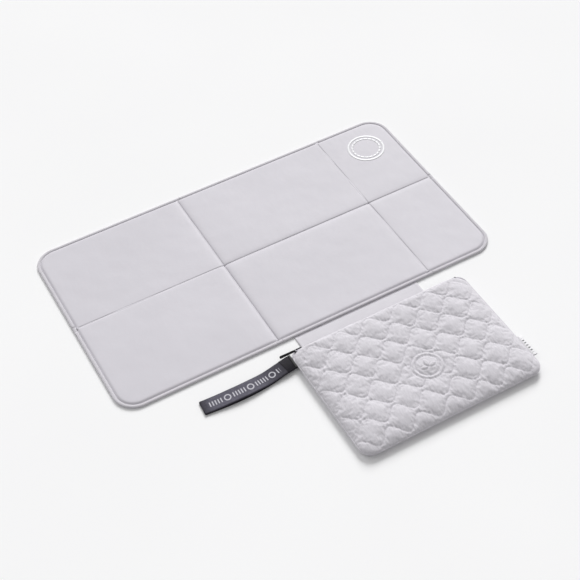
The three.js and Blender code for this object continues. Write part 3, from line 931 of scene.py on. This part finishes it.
def wave(row, x):
    """The height along Y of a quilting line at x, and its slope. Hand-fed lines wander a little."""
    turn = 2 * math.pi * (x - WAVE_CREST_X - (row % 2) * WAVE_LENGTH / 2) / WAVE_LENGTH
    turn = turn + WAVE_DRIFT * np.sin(x / (31 * MM) + 1.9 * row)
    middle_y = WAVE_FIRST_Y - row * WAVE_SPACING + WAVE_STRAY * np.sin(x / (43 * MM) + 2.4 * row)
    return middle_y + WAVE_HEIGHT * np.cos(turn), -WAVE_HEIGHT * 2 * math.pi / WAVE_LENGTH * np.sin(turn)


def from_badge(x, y):
    return np.hypot(x - BADGE[0], y - BADGE[1])


def stitch_distance(x, y):
    """How far each place is from the nearest quilting line or badge ring."""
    nearest = np.full(x.shape, 1.0)
    for row in range(WAVE_ROWS):
        line, slope = wave(row, x)
        nearest = np.minimum(nearest, np.abs(y - line) / np.sqrt(1 + slope ** 2))
    radius = from_badge(x, y)
    ring = np.abs(radius - BADGE_RADIUS)
    disc = np.abs(radius - BADGE_DISC)
    return np.where(radius < BADGE_RADIUS, np.minimum(ring, disc), np.minimum(nearest, ring))


def leaf(x, y, centre, angle, length):
    """How far inside a leaf each place is, negative outside it. The leaf is where two circles overlap."""
    dx, dy = x - centre[0], y - centre[1]
    along = dx * math.cos(angle) + dy * math.sin(angle)
    across = dy * math.cos(angle) - dx * math.sin(angle)
    radius = length * 0.62
    shift = math.sqrt(radius ** 2 - (length / 2) ** 2)
    return radius - np.hypot(along, np.abs(across) + shift)


def badge_relief(x, y):
    """A raised ring, and a sprout of three leaves on the disc inside it."""
    radius = from_badge(x, y)
    relief = BADGE_RING_HEIGHT * np.exp(-(((radius - BADGE_RING) / BADGE_RING_WIDTH) ** 2))
    for angle, length in BADGE_LEAVES:
        turn = math.radians(angle)
        reach = length * 0.55
        centre = (BADGE[0] + reach * math.cos(turn), BADGE[1] + LEAF_ROOT + reach * math.sin(turn))
        inside = leaf(x, y, centre, turn, length)
        relief = relief + LEAF_HEIGHT * np.clip(inside / LEAF_SLOPE, 0, 1)
        relief = relief - LEAF_GROOVE * np.exp(-((inside / LEAF_GROOVE_WIDTH) ** 2))
    return np.where(radius < BADGE_RADIUS, relief, 0)


def side_inset(y):
    """How far the pouch's side has come in at y, near the mouth's rounded corners."""
    over = np.clip(y - (POUCH_MOUTH - POUCH_RADIUS), 0, POUCH_RADIUS)
    return POUCH_RADIUS - np.sqrt(np.maximum(POUCH_RADIUS ** 2 - over ** 2, 0))


def seam_depth(x, y):
    """How far each place is from the seamed sides and bottom, whatever its distance from the mouth."""
    radii = (POUCH_RADIUS, POUCH_RADIUS, 0, 0)
    long = outline_depth(x, y, (POUCH_X0, POUCH_X1, POUCH_Y0, POUCH_MOUTH + 1), radii)
    front = np.minimum(long, np.minimum(x - POUCH_X0, POUCH_X1 - x))
    return np.maximum(front - side_inset(y), 0)


def back_height(x, y):
    """The height of the back panel's underside: it curls up from the floor to the side seam."""
    curl = 1 - rise(seam_depth(x, y), UNDER_ROLL)
    return SEAM_Z * curl ** 1.3


def front_base(depth, to_mouth):
    """The height of the quilting lines: low at the seams and at the lip, domed between them."""
    crown = POUCH_TOP - PUFF - SLACK_ROOM
    seam = SEAM_Z + BACK_PLY
    round_over = np.sin(math.pi / 2 * np.clip(depth / ROUND_OVER, 0, 1))
    pillow = 0.2 * rise(depth, EDGE_ROUND) + 0.45 * round_over + 0.35 * rise(depth, BROAD_DOME)
    from_sides = seam + (crown - seam) * pillow
    from_lip = LIP_Z + (crown - LIP_Z) * rise(to_mouth, LIP_ROLL)
    return np.minimum(from_sides, from_lip)


def front_height(x, y):
    """The height of the quilted front over any places inside its outline: base, puffs, slack and puckers."""
    depth = seam_depth(x, y)
    to_mouth = np.maximum(LIP_Y - y, 0)
    near = stitch_distance(x, y)
    puff = 0.48 * (1 - np.exp(-near / PUFF_STEEP)) + 0.52 * np.tanh(near / PUFF_REACH)
    puff = np.where(from_badge(x, y) < BADGE_RADIUS, 0.5 * np.tanh(near / BADGE_PUFF_REACH), puff)
    shoulder = np.clip(np.minimum(depth / (13 * MM), to_mouth / (6 * MM) + 0.3), 0, 1) ** 0.7
    slack = ripple(x, y, 62, 5.0) * 1.1 + ripple(x, y, 21, 6.0) * 0.55
    pucker = ripple(x * 2.6, y * 0.9, 9, 7.0) * np.exp(-near / PUCKER_REACH) * 1.05
    pucker = pucker + ripple(x * 1.2, y, 6.5, 8.0) * 0.32
    height = front_base(depth, to_mouth) + shoulder * (PUFF * puff + (slack + pucker) * MM)
    return np.minimum(height + badge_relief(x, y), POUCH_TOP + 1.0 * MM)


def pouch_patch(back_y, step):
    radii = (POUCH_RADIUS, POUCH_RADIUS, MOUTH_RADIUS, MOUTH_RADIUS)
    return Patch(POUCH_X0, POUCH_X1, POUCH_Y0, back_y, radii, step)


FRONT_STEP = 1.1 * MM
SWELL_FRAMES = 14
SWELL_CAP = 2.5 * MM
SEWN_WITHIN = 1.3 * MM
SEWN_AT_EDGE = 1 * MM
SEWN_AT_LIP = 2 * MM


def billow(x, y, z):
    """How far the quilted sheet moves when it swells: a cloth simulation, sewn down along the quilting.

    x, y and z are grids. The cloth is a little larger than the shape that it starts from, so it wrinkles.
    """
    start = np.stack([x, y, z], -1)
    sheet = make_piece("billowing", start.reshape(-1, 3), grid_faces(x.shape[0] - 1, x.shape[1] - 1), [])
    edge = (seam_depth(x, y) < SEWN_AT_EDGE) | (y > LIP_Y - SEWN_AT_LIP)
    sewn = (stitch_distance(x, y) < SEWN_WITHIN) | edge
    sheet.vertex_groups.new(name="sewn").add(np.flatnonzero(sewn).tolist(), 1.0, "REPLACE")
    simulation = sheet.modifiers.new("cloth", "CLOTH")
    simulation.collision_settings.use_collision = False
    simulation.point_cache.frame_end = SWELL_FRAMES
    cloth_settings = simulation.settings
    cloth_settings.vertex_group_mass = "sewn"
    cloth_settings.quality = 4
    cloth_settings.bending_stiffness = 4
    cloth_settings.use_pressure = True
    cloth_settings.uniform_pressure_force = 38
    cloth_settings.shrink_min = -0.012
    cloth_settings.effector_weights.gravity = 0
    for frame_number in range(1, SWELL_FRAMES + 1):
        bpy.context.scene.frame_set(frame_number)
    swollen = sheet.evaluated_get(bpy.context.evaluated_depsgraph_get()).data.vertices
    moved = np.zeros(3 * len(swollen))
    swollen.foreach_get("co", moved)
    bpy.context.scene.frame_set(1)
    bpy.data.objects.remove(sheet)
    return np.clip(moved.reshape(start.shape) - start, -SWELL_CAP, SWELL_CAP)


def doubled(field):
    """A grid of values with a new line of averages between every two lines."""
    for axis in (0, 1):
        field = np.moveaxis(field, axis, 0)
        wider = np.zeros((2 * len(field) - 1,) + field.shape[1:])
        wider[::2] = field
        wider[1::2] = (field[1:] + field[:-1]) / 2
        field = np.moveaxis(wider, 0, axis)
    return field


def front_underside(x, y, top):
    """The front's lower face: on the back panel along the seams, and hollow over the pouch's inside."""
    on_back = back_height(x, y) + BACK_PLY + 0.15 * MM
    ceiling = CAVITY_TOP + (LIP_UNDER - CAVITY_TOP) * np.clip((y - LIP_Y + 7 * MM) / (4 * MM), 0, 1)
    ceiling = np.minimum(ceiling, top - 0.8 * MM)
    hollow = np.clip((seam_depth(x, y) - HOLLOW_INSET) / (1.5 * MM), 0, 1)
    return np.minimum(on_back + np.maximum(ceiling - on_back, 0) * hollow, top - 0.05 * MM)


def make_pouch_front():
    patch = pouch_patch(LIP_Y, FRONT_STEP)
    near_lip = np.clip(1 - (LIP_Y - patch.y) / LIP_ROLL, 0, 1)
    patch.y = patch.y + LIP_WANDER * ripple(patch.x, 0 * patch.y, 24, 9.0) * near_lip
    top = front_height(patch.x, patch.y)
    swell = doubled(billow(patch.x[::2, ::2], patch.y[::2, ::2], top[::2, ::2]))
    patch.x = patch.x + swell[..., 0]
    patch.y = patch.y + swell[..., 1]
    top = np.minimum(top + swell[..., 2], POUCH_TOP + 2 * MM)
    bottom = front_underside(patch.x, patch.y, top)
    upper, lower = patch.on_rim(top), patch.on_rim(bottom)
    bulge = ((0.35 * MM, 0.8), (LIP_BULGE, 0.5), (0.35 * MM, 0.2))
    rings = [patch.ring(outward, upper * share + lower * (1 - share)) for outward, share in bulge]
    made = closed_form("pouch_quilted_front", patch.x, patch.y, top, bottom, [JERSEY, LINING], rings)
    settle(made, "pouch", "melange_jersey", "pouch_front_shell", "pouch_front_batting", "pouch_front_lining")


STITCH_PITCH = 3.1 * MM
STITCH_LENGTH = 2.2 * MM
STITCH_SIDES = 5
STITCH_SHAPE = ((-0.5, 0.6), (0.75, 1.0), (-0.5, 0.6))  # lift and thickness along a stitch, in radii


def quilting_runs():
    """Every quilting line and both badge rings as rows of places, and whether the badge interrupts them."""
    x = np.linspace(POUCH_X0 + 7 * MM, POUCH_X1 - 7 * MM, 1200)
    turns = np.linspace(0, 2 * math.pi, 260)
    runs = [(x, wave(row, x)[0], True) for row in range(WAVE_ROWS)]
    for radius in (BADGE_RADIUS, BADGE_DISC):
        runs.append((BADGE[0] + radius * np.cos(turns), BADGE[1] + radius * np.sin(turns), False))
    return runs


def make_quilt_stitches():
    """Short thread stitches along every quilting line and both badge rings."""
    stitches = []
    for x, y, interrupted in quilting_runs():
        travelled = np.concatenate([[0], np.cumsum(np.hypot(np.diff(x), np.diff(y)))])
        for at in np.arange(0, travelled[-1] - 3 * MM, STITCH_PITCH):
            ends = [
                (np.interp(reach, travelled, x), np.interp(reach, travelled, y))
                for reach in (at, at + STITCH_LENGTH)
            ]
            in_badge = math.dist(ends[0], BADGE) < BADGE_RADIUS + 1 * MM
            lowest, highest = sorted(end[1] for end in ends)
            inside = lowest >= POUCH_Y0 + 7 * MM and highest <= POUCH_LIP - 3 * MM
            if inside and not (interrupted and in_badge):
                stitches.append(ends)
    made = make_stitches("quilt_stitching", stitches, front_height, PALE_THREAD)
    settle(made, "pouch", "melange_jersey")


def make_stitches(name, stitches, height, material, radius=0.28 * MM):
    """Threads from a first to a last place, on a surface of that height. Each sinks at its ends."""
    places = np.array([(first, np.add(first, last) / 2, last) for first, last in stitches])
    levels = height(places[..., 0], places[..., 1])
    points, faces = [], []
    for trio, heights in zip(places, levels):
        direction = Vector((*(trio[2] - trio[0]), 0)).normalized()
        side = Vector((-direction.y, direction.x, 0))
        faces += tube_faces(len(trio), STITCH_SIDES, len(points))
        for place, level, (lift, width) in zip(trio, heights, STITCH_SHAPE):
            centre = Vector((*place, level + lift * radius))
            for s, u in round_section(radius * width, radius * width, STITCH_SIDES):
                points.append(centre + side * s + UP * u)
    made = make_piece(name, points, faces, [material])
    fix_normals(made)
    return made


def outline_path():
    """Round the pouch: from its mouth's left end, by the left, front and right sides, to the right end."""
    patch = pouch_patch(LIP_Y, 3 * MM)
    whole = [(patch.x[i, j], patch.y[i, j], out) for i, j, out in patch.rim()]
    mouth = LIP_Y - 1 * MM
    start = next(k for k, (_, y, _) in enumerate(whole) if y < mouth <= whole[k - 1][1])
    path = []
    for x, y, out in whole[start:] + whole[:start]:
        if y < mouth:
            z = float(back_height(np.array([x]), np.array([y]))[0]) + BACK_PLY
            path.append((Vector((x, y, z)), Vector((out.x, out.y, 0)), UP))
    return path


def make_pouch_back():
    patch = pouch_patch(high("pouch_back_panel").y, 2.5 * MM)
    top = back_height(patch.x, patch.y) + BACK_PLY
    bottom = top - BACK_PLY + 0.02 * MM
    rings = [patch.ring(0.25 * MM, patch.on_rim(bottom) + up * MM) for up in (0.9, 0.35)]
    made = closed_form("pouch_back", patch.x, patch.y, top, bottom, [LINING, JERSEY], rings)
    settle(made, "pouch", "melange_jersey", "pouch_back_panel", "pouch_back_lining")
    seam = sweep("pouch_side_seam", outline_path(), round_section(0.7 * MM, 0.75 * MM), JERSEY)
    settle(seam, "pouch", "melange_jersey")


# ---------------------------------------------------------------- the zip
ZIP_LEFT = low("zip_coil_front").x
ZIP_RIGHT = high("zip_coil_front").x
ZIP_Y = middle("zip_coil_front").y
FRONT_COIL_Z = middle("zip_coil_front").z
BACK_COIL_Z = middle("zip_coil_back").z
COIL_RADIUS = high("zip_coil_front").z - FRONT_COIL_Z
COIL_PITCH = 1.9 * MM
COIL_STEPS = 9
TAPE_STEP = 3 * MM
WIRE_RADIUS = 0.3 * MM
# Each tape's middle line in millimetres from its coil: along Y, and up.
TAPE_LINES_MM = {
    "front": (FRONT_COIL_Z, [(-5.0, 1.25), (-2.0, 1.25), (-0.8, 1.15), (-0.2, 0.9), (0.0, 0.55)]),
    "back": (BACK_COIL_Z, [(-5.0, -2.1), (-1.6, -2.0), (-0.4, -1.7), (0.0, -1.2), (0.0, -0.6)]),
}


def ribbon_section(line, thickness):
    """A closed section of even thickness round a line of (side, up) points."""
    upper, lower = [], []
    for k, (side, up) in enumerate(line):
        before = line[max(k - 1, 0)]
        after = line[min(k + 1, len(line) - 1)]
        out = Vector((before[1] - after[1], after[0] - before[0])).normalized() * thickness / 2
        upper.append((side + out.x, up + out.y))
        lower.append((side - out.x, up - out.y))
    return upper + lower[::-1]


def make_zip_tapes():
    for name, (z, line) in TAPE_LINES_MM.items():
        ends = [Vector((x, ZIP_Y, z)) for x in (ZIP_LEFT, ZIP_RIGHT)]
        path = straight(*ends, Vector((0, 1, 0)), TAPE_STEP)
        section = ribbon_section([(s * MM, u * MM) for s, u in line], 0.4 * MM)
        tape = sweep(f"zip_tape_{name}_woven", path, section, ZIP_TAPE)
        settle(tape, "pouch", "zip_tape", f"zip_tape_{name}")


def make_coil(side, z):
    """Nylon wire wound from one end of the zip to the other."""
    reach = COIL_RADIUS - WIRE_RADIUS * 0.8
    step = COIL_PITCH / COIL_STEPS
    path = []
    for k in range(int((ZIP_RIGHT - ZIP_LEFT) / COIL_PITCH * COIL_STEPS) + 1):
        angle = 2 * math.pi * k / COIL_STEPS
        out = Vector((0, math.cos(angle), math.sin(angle)))
        path.append((Vector((ZIP_LEFT + step * k, ZIP_Y, z)) + out * reach, out, Vector((1, 0, 0))))
    made = sweep(f"zip_coil_{side}_wound", path, round_section(WIRE_RADIUS, WIRE_RADIUS, 5), NYLON)
    settle(made, "pouch", "zip_coil", f"zip_coil_{side}")


def block(*spans):
    """The lowest and the highest corner of a box, from its spans along X, Y and Z."""
    return tuple(Vector(corner) for corner in zip(*spans))


def bevelled(name, boxes, radius, material):
    """Blocks with rounded edges in one mesh. Each box is its lowest and its highest corner."""
    whole = bmesh.new()
    for lowest, highest in boxes:
        size = highest - lowest
        place = Matrix.Translation((lowest + highest) / 2) @ Matrix.Diagonal((*size, 1))
        corners = bmesh.ops.create_cube(whole, size=1, matrix=place)["verts"]
        edges = list(dict.fromkeys(edge for corner in corners for edge in corner.link_edges))
        round_to = min(radius, 0.45 * min(size))
        bmesh.ops.bevel(
            whole, geom=edges + corners, offset=round_to, segments=3, affect="EDGES", profile=0.5
        )
    mesh = bpy.data.meshes.new(name)
    whole.to_mesh(mesh)
    whole.free()
    mesh.materials.append(material)
    mesh.polygons.foreach_set("use_smooth", [True] * len(mesh.polygons))
    return show(name, mesh)


def make_stops():
    for node in ("zip_bottom_stop", "zip_top_stop_front", "zip_top_stop_back"):
        made = bevelled(f"{node}_clip", [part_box(node)], 0.4 * MM, ENAMEL)
        settle(made, "pouch", "dark_metal", node)


def make_slider():
    """Two plates on a wedge, with an arch that holds the tab's pin."""
    lowest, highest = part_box("zip_slider")
    x, z = middle("zip_slider").x, middle("zip_slider").z
    plate = 1.0 * MM
    outer = ZIP_Y + COIL_RADIUS + 0.3 * MM
    length, height = (lowest.x, highest.x), (lowest.z, highest.z)
    legs, arch = (outer + plate / 2, highest.y), (z - MM, z + MM)
    wedge = (lowest.y + plate / 2, outer + plate / 2)
    boxes = [
        block(length, (lowest.y, lowest.y + plate), height),
        block(length, (outer, outer + plate), height),
        block((x - MM, x + 4 * MM), wedge, (BACK_COIL_Z + 1.1 * MM, FRONT_COIL_Z - 1.1 * MM)),
        block((x - 4.2 * MM, x - 3 * MM), legs, arch),
        block((x + 3 * MM, x + 4.2 * MM), legs, arch),
        block((x - 4.2 * MM, x + 4.2 * MM), (highest.y - plate, highest.y), arch),
    ]
    made = bevelled("zip_slider_cast", boxes, 0.42 * MM, ENAMEL)
    settle(made, "slider", "dark_metal", "zip_slider")


TAB_THICK = 0.8 * MM
TAB_TALL = 2.8 * MM
# The tab's two arms and its pin, from the pin's middle.
TAB_LINK_MM = [
    ((-7.5, 0.6), (-0.5, 0.5), (1.4, 2.2)),
    ((-7.5, 0.6), (-0.5, 0.5), (-2.2, -1.4)),
    ((-0.55, 0.55), (-0.55, 0.55), (-1.9, 1.9)),
]


def make_pull_tab():
    """A flat tab on edge that thickens to a round end, two arms, and the pin through the slider's arch."""
    pin = Vector(pivot("puller_swing"))
    root = pin.x - 6 * MM
    end = low("zip_pull_tab").x
    rings = []
    for t in between(0.0, 1.0, 34):
        tip = math.sqrt(max(0.0, 1 - max(0.0, (t - 0.9) / 0.1) ** 2))
        tall = max(0.05, tip) * min(1.0, 0.55 + t * 3)
        thick = (0.85 + 0.75 * t ** 1.5) * min(1, tall * 1.5)
        centre = Vector((root + (end - root) * t, pin.y, pin.z))
        ring = []
        for s, u in round_section(TAB_THICK, TAB_TALL, 20):
            flat = math.copysign(min(TAB_THICK, abs(s) * 1.5), s)
            ring.append(centre + Vector((0, flat * thick, u * tall)))
        rings.append(ring)
    settle(skin("zip_pull_tab_plate", rings, ENAMEL), "pull_tab", "dark_metal", "zip_pull_tab")
    boxes = [[pin + corner * MM for corner in block(*spans)] for spans in TAB_LINK_MM]
    settle(bevelled("zip_pull_tab_link", boxes, 0.3 * MM, ENAMEL), "pull_tab", "dark_metal")


# ---------------------------------------------------------------- wrist strap
STRAP_ROOT_X = -74.0 * MM
STRAP_Y = pivot("strap_swing")[1]
STRAP_TURN = math.radians(1.9)
STRAP_WIDTH = 25 * MM
STRAP_PLY = 1.3 * MM
STRAP_APART = STRAP_PLY / 2 + 0.1 * MM
STRAP_LENGTH = 151 * MM
STRAP_NOSE = STRAP_LENGTH - 4 * MM
STRAP_FLAT = 3.5 * MM  # the height of the upper ply's face where the two plies lie close
STRAP_SWELL = 2.7 * MM  # how much more it rises where the loop stands open
STRAP_OPEN_AT = 88 * MM
STRAP_OPEN_REACH = 40 * MM
STRAP_BOW = 6 * MM
STRAP_FROM = 4.5 * MM  # the loop starts inside the dark sleeve at its root
SLEEVE_Z = 5.2 * MM
SLEEVE_SPAN = (-2.2 * MM, 13 * MM)
SLEEVE_BEND = (-0.5 * MM, 5.0 * MM)
TACK_ROWS = (10.5 * MM, 12.0 * MM)
TACKS = 9
TACK_PITCH = 2.6 * MM
TACK_LENGTH = 1.9 * MM


def strap_middle(t, height):
    """A place on the strap, t metres out from its root: it bows a little towards the mat as it goes."""
    bow = STRAP_BOW * math.sin(math.pi * min(1.0, max(0.0, t / STRAP_LENGTH)))
    cos, sin = math.cos(STRAP_TURN), math.sin(STRAP_TURN)
    return Vector((STRAP_ROOT_X - t * cos + bow * sin, STRAP_Y - t * sin - bow * cos, height))


def strap_side(t):
    """The direction across the strap, t metres out from its root."""
    ahead = strap_middle(t + MM, 0) - strap_middle(t - MM, 0)
    return UP.cross(ahead).normalized()


def upper_ply(t):
    swell = math.exp(-(((t - STRAP_OPEN_AT) / STRAP_OPEN_REACH) ** 2))
    return STRAP_FLAT + STRAP_SWELL * swell - STRAP_PLY / 2


def in_sleeve(t):
    """1 where the two plies are held together at the root, 0 where each goes its own way."""
    s = min(1.0, max(0.0, (t - 12 * MM) / (40 * MM)))
    return 1 - s * s * (3 - 2 * s)


def strap_profile():
    """The loop's side view as (distance out, height): out by the lower ply and back by the upper one."""
    lower, upper = [], []
    for t in between(STRAP_FROM, STRAP_NOSE, 46):
        held = in_sleeve(t)
        sag = abs(0.25 * MM * noise.noise(Vector((t * 40, 1, 0))))
        lower.append((t, (SLEEVE_Z - STRAP_APART) * held + (STRAP_APART + sag) * (1 - held)))
        sag = abs(0.5 * MM * noise.noise(Vector((t * 30, 5, 0))))
        upper.append((t, (SLEEVE_Z + STRAP_APART) * held + (upper_ply(t) - sag) * (1 - held)))
    top = upper_ply(STRAP_NOSE)
    radius, centre = (top - STRAP_APART) / 2, (top + STRAP_APART) / 2
    reach = STRAP_LENGTH - STRAP_PLY / 2 - STRAP_NOSE
    angles = between(-math.pi / 2, math.pi / 2, 12)[1:-1]
    nose = [(STRAP_NOSE + reach * math.cos(a), centre + radius * math.sin(a)) for a in angles]
    return lower + nose + upper[::-1]


def webbing_section(half, tall, corner, cut, pieces):
    """A flat section with cut corners: a cut is corner wide, and starts at that share of the height."""
    under = [(s, -tall) for s in between(corner - half, half - corner, pieces)]
    under = [(-half, -tall * cut)] + under + [(half, -tall * cut)]
    return under + [(-s, -u) for s, u in under]


def make_strap():
    profile = strap_profile()
    places = [strap_middle(t, z) for t, z in profile]
    path = []
    for k, place in enumerate(places):
        before = places[max(k - 1, 0)]
        after = places[min(k + 1, len(places) - 1)]
        side = strap_side(profile[k][0])
        path.append((place, side, (after - before).cross(side).normalized()))
    section = webbing_section(STRAP_WIDTH / 2, STRAP_PLY / 2, 0.5 * MM, 0.5, 10)
    made = sweep("wrist_strap_loop", path, section, WEBBING)
    make_strap_sleeve()
    settle(made, "wrist_strap", "strap_webbing", "wrist_strap_webbing")
    make_strap_tacks()


def make_strap_tacks():
    """Two rows of short stitches through the sleeve's end."""
    across = Vector((math.sin(STRAP_TURN), -math.cos(STRAP_TURN)))
    stitches = []
    for out in TACK_ROWS:
        for k in range(TACKS):
            first = strap_middle(out, 0).to_2d() + across * (TACK_PITCH * k - 11.4 * MM)
            stitches.append((tuple(first), tuple(first + across * TACK_LENGTH)))

    def sleeve_top(x, y):
        return np.full(x.shape, SLEEVE_Z + STRAP_PLY + 0.15 * MM)

    made = make_stitches("wrist_strap_stitches", stitches, sleeve_top, BAR_TACK, 0.35 * MM)
    settle(made, "wrist_strap", "anchor_webbing")


def make_strap_sleeve():
    """The dark, folded end of the strap, from the pouch's edge to the loop."""
    path = [(strap_middle(t, SLEEVE_Z), strap_side(t), UP) for t in between(*SLEEVE_SPAN, 30)]
    section = webbing_section(STRAP_WIDTH / 2 + 0.35 * MM, STRAP_PLY + 0.65 * MM, 0.7 * MM, 0.6, 1)
    made = sweep("wrist_strap_sleeve", path, section, SLEEVE)
    first, last = (tuple(strap_middle(t, 0)) for t in SLEEVE_BEND)
    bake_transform(made)


def blunt(share):
    """Turns a sine or cosine into that of a rounded square."""
    return math.copysign(abs(share) ** 0.55, share)


def make_anchor():
    """The dense bar tack that holds the strap at the pouch's edge: a soft bar with close thread wraps."""
    lowest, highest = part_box("strap_anchor_bar")
    centre = middle("strap_anchor_bar")
    half = (highest - lowest) / 2
    wraps = 90
    rings = []
    for k, y in enumerate(between(lowest.y, highest.y, wraps)):
        rounding = min(1.0, min(k, wraps - k) / 2.5 + 0.55)
        size = rounding * (1 + 0.05 * math.cos(k * math.pi))
        ring = [(half.x * size * blunt(c), half.z * size * blunt(s)) for c, s in round_section(1, 1, 16)]
        rings.append([Vector((centre.x + x, y, centre.z + z)) for x, z in ring])
    settle(skin("strap_bar_tack", rings, BAR_TACK), "pouch", "anchor_webbing", "strap_anchor_bar")


# ---------------------------------------------------------------- flap, label, printed mark
FLAP_BEND = 2.2 * MM
FLAP_OVERLAP = 0.1 * MM
SHEET_STEP = 2.5 * MM
HEM_STEP = 0.35 * MM
SHEET_THICK = 0.55 * MM


def make_flap():
    """The plain cloth between mat and pouch, with a hem at each end that lies over its seam."""
    lowest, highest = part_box("connecting_flap")
    width = (lowest.x, highest.x)
    mat_seam = pivot("flap_fold")[1]
    pouch_seam = pivot("pouch_fold")[1]
    front = pouch_seam + FLAP_BEND - FLAP_OVERLAP
    back = mat_seam - FLAP_BEND + FLAP_OVERLAP
    panel = cloth_sheet("flap_cloth_panel", width, (front, back), SHEET_STEP)
    settle(panel, "flap", "flap_cloth", "connecting_flap")
    flat = (highest.x - lowest.x, mat_seam - pouch_seam - 2 * FLAP_BEND + 2 * FLAP_OVERLAP)
    hems = (
        ("flap_hem_at_mat", ("near_center", "flap"), mat_seam, (-FLAP_BEND, FLAP_BEND + 3 * MM)),
        ("flap_hem_at_pouch", ("flap", "pouch"), pouch_seam, (-FLAP_BEND - 2 * MM, FLAP_BEND)),
    )
    for name, bodies, seam, (before, after) in hems:
        hem = cloth_sheet(name, width, (seam + before, seam + after), HEM_STEP)
        seam + FLAP_BEND
        seam - FLAP_BEND
        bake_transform(hem)


def cloth_sheet(name, x_span, y_span, step):
    """A thin closed sheet with a rolled selvedge at each side, and slight waves where it is long enough."""
    (x0, x1), (y0, y1) = x_span, y_span
    nx = max(2, round((x1 - x0) / SHEET_STEP))
    ny = max(2, round((y1 - y0) / step))
    x, y = grid(np.linspace(x0, x1, nx + 1), np.linspace(y0, y1, ny + 1))
    loose = np.clip(np.minimum(y - y0, y1 - y) / (4 * MM), 0, 1) * (y1 - y0 > 15 * MM)
    waves = np.abs(ripple(x, y, 33, 20.0)) * 0.55 * MM * loose
    edge = np.minimum(x - x0, x1 - x)
    selvedge = 0.35 * MM * np.exp(-((edge - 2 * MM) / (1.2 * MM)) ** 2)
    top = 0.35 * MM + SHEET_THICK + waves + selvedge
    made = closed_form(name, x, y, top, 0.3 * MM + waves, [FLAP_CLOTH])
    fix_normals(made)
    return made


def make_label():
    """A satin label folded in two, whose open ends are sewn into the pouch's right side."""
    lowest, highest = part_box("side_label")
    reach = highest.x - lowest.x
    sides = (-1.2 * MM, reach * 0.5, reach * 0.9, reach - 0.15 * MM)
    ply = [(side, up * MM) for side, up in zip(sides, (0.28, 0.42, 0.4, 0.2))]
    section = ribbon_section(ply + [(reach, 0.0)] + [(s, -u) for s, u in reversed(ply)], 0.22 * MM)
    height = middle("side_label").z
    path = []
    for share in between(0.0, 1.0, 24):
        y = lowest.y + (highest.y - lowest.y) * share
        droop = 0.3 * MM * math.sin(share * math.pi * 1.3)
        path.append((Vector((lowest.x, y, height + droop)), Vector((1, 0, 0)), UP))
    made = sweep("side_label_folded", path, section, LABEL)
    # The strip's length coordinate is moved, so that 0 is at the label's middle.
    for corner in made.data.uv_layers[0].data:
        corner.uv[0] -= (highest.y - lowest.y) / 2 / MM
    settle(made, "pouch", "label_satin", "side_label")


MARK = (270 * MM, 247 * MM)
MARK_RING = (28.4 * MM, 32.6 * MM)
MARK_DASHES = (22.0 * MM, 25.8 * MM)
DASHES = 20
DASH_SHARE = 0.88
INK_SPAN = (0.14 * MM, -0.1 * MM)  # the ink's top and bottom, from the cloth's face


def pad_surface(x, y):
    """The height of the far right pad's face, read off its mesh."""
    pad = bpy.data.objects["mat_pad_far_right"]
    found = []
    for px, py in zip(x, y):
        hit, place, _, _ = pad.ray_cast(Vector((px, py, 0.05)), -UP)
        found.append(place.z if hit else PAD_TOP)
    return np.array(found)


def make_mark():
    """A printed circle with a ring of dashes inside it, laid as ink on the pad."""
    pitch = 2 * math.pi / DASHES
    bands = [(MARK_RING, 0, 2 * math.pi, 144)]
    bands += [(MARK_DASHES, k * pitch, (k + DASH_SHARE) * pitch, 6) for k in range(DASHES)]
    points, faces = [], []
    for radii, first, last, steps in bands:
        faces += closed_faces(steps, 1, len(points))
        angle, radius = (field.ravel() for field in grid(np.linspace(first, last, steps + 1), radii))
        x = MARK[0] + radius * np.cos(angle)
        y = MARK[1] + radius * np.sin(angle)
        level = pad_surface(x, y)
        for lift in INK_SPAN:
            points += np.stack([x, y, level + lift], -1).tolist()
    made = make_piece("printed_mark", points, faces, [PRINT])
    fix_normals(made)
    settle(made, "far_right", "coated_cover")


make_pouch_front()
make_quilt_stitches()
make_pouch_back()
make_zip_tapes()
make_coil("front", FRONT_COIL_Z)
make_coil("back", BACK_COIL_Z)
make_stops()
make_slider()
make_pull_tab()
make_strap()
make_anchor()
make_flap()
make_label()
make_mark()


# ---------------------------------------------------------------- floor, lights
FLOOR_HALF = 6


def make_floor():
    corners = [(-FLOOR_HALF, -FLOOR_HALF, 0), (FLOOR_HALF, -FLOOR_HALF, 0)]
    corners += [(-x, -y, 0) for x, y, _ in corners]
    white = Finish("floor_white", 0.9)
    tint = white.noise(white.place(), 0.002, 2)
    white.colour(white.blotches(tint, (0.95, 0.95, 0.955, 1), (0.97, 0.97, 0.975, 1)))
    make_piece("floor", corners, [(0, 1, 2, 3)], [white.done()])


def make_light(name, place, spread_degrees, strength):
    """A broad, even light from one direction."""
    data = bpy.data.lights.new(name, "SUN")
    data.energy = strength
    data.angle = math.radians(spread_degrees)
    lamp = bpy.data.objects.new(name, data)
    lamp.location = place
    lamp.rotation_euler = (-Vector(place)).to_track_quat("-Z", "Y").to_euler()
    bpy.context.scene.collection.objects.link(lamp)


def make_world():
    world = bpy.data.worlds.new("studio")
    world.use_nodes = True
    background = world.node_tree.nodes["Background"]
    background.inputs["Color"].default_value = WHITE
    background.inputs["Strength"].default_value = 0.365
    bpy.context.scene.world = world
    # Plain display colours, so that cloth of a known colour comes out that colour.
    bpy.context.scene.view_settings.view_transform = "Standard"


make_floor()
make_world()
make_light("key", (1.6, 2.3, 1.75), 28, 2.8)
make_light("top", (-0.8, 1.6, 2.0), 60, 0.5)
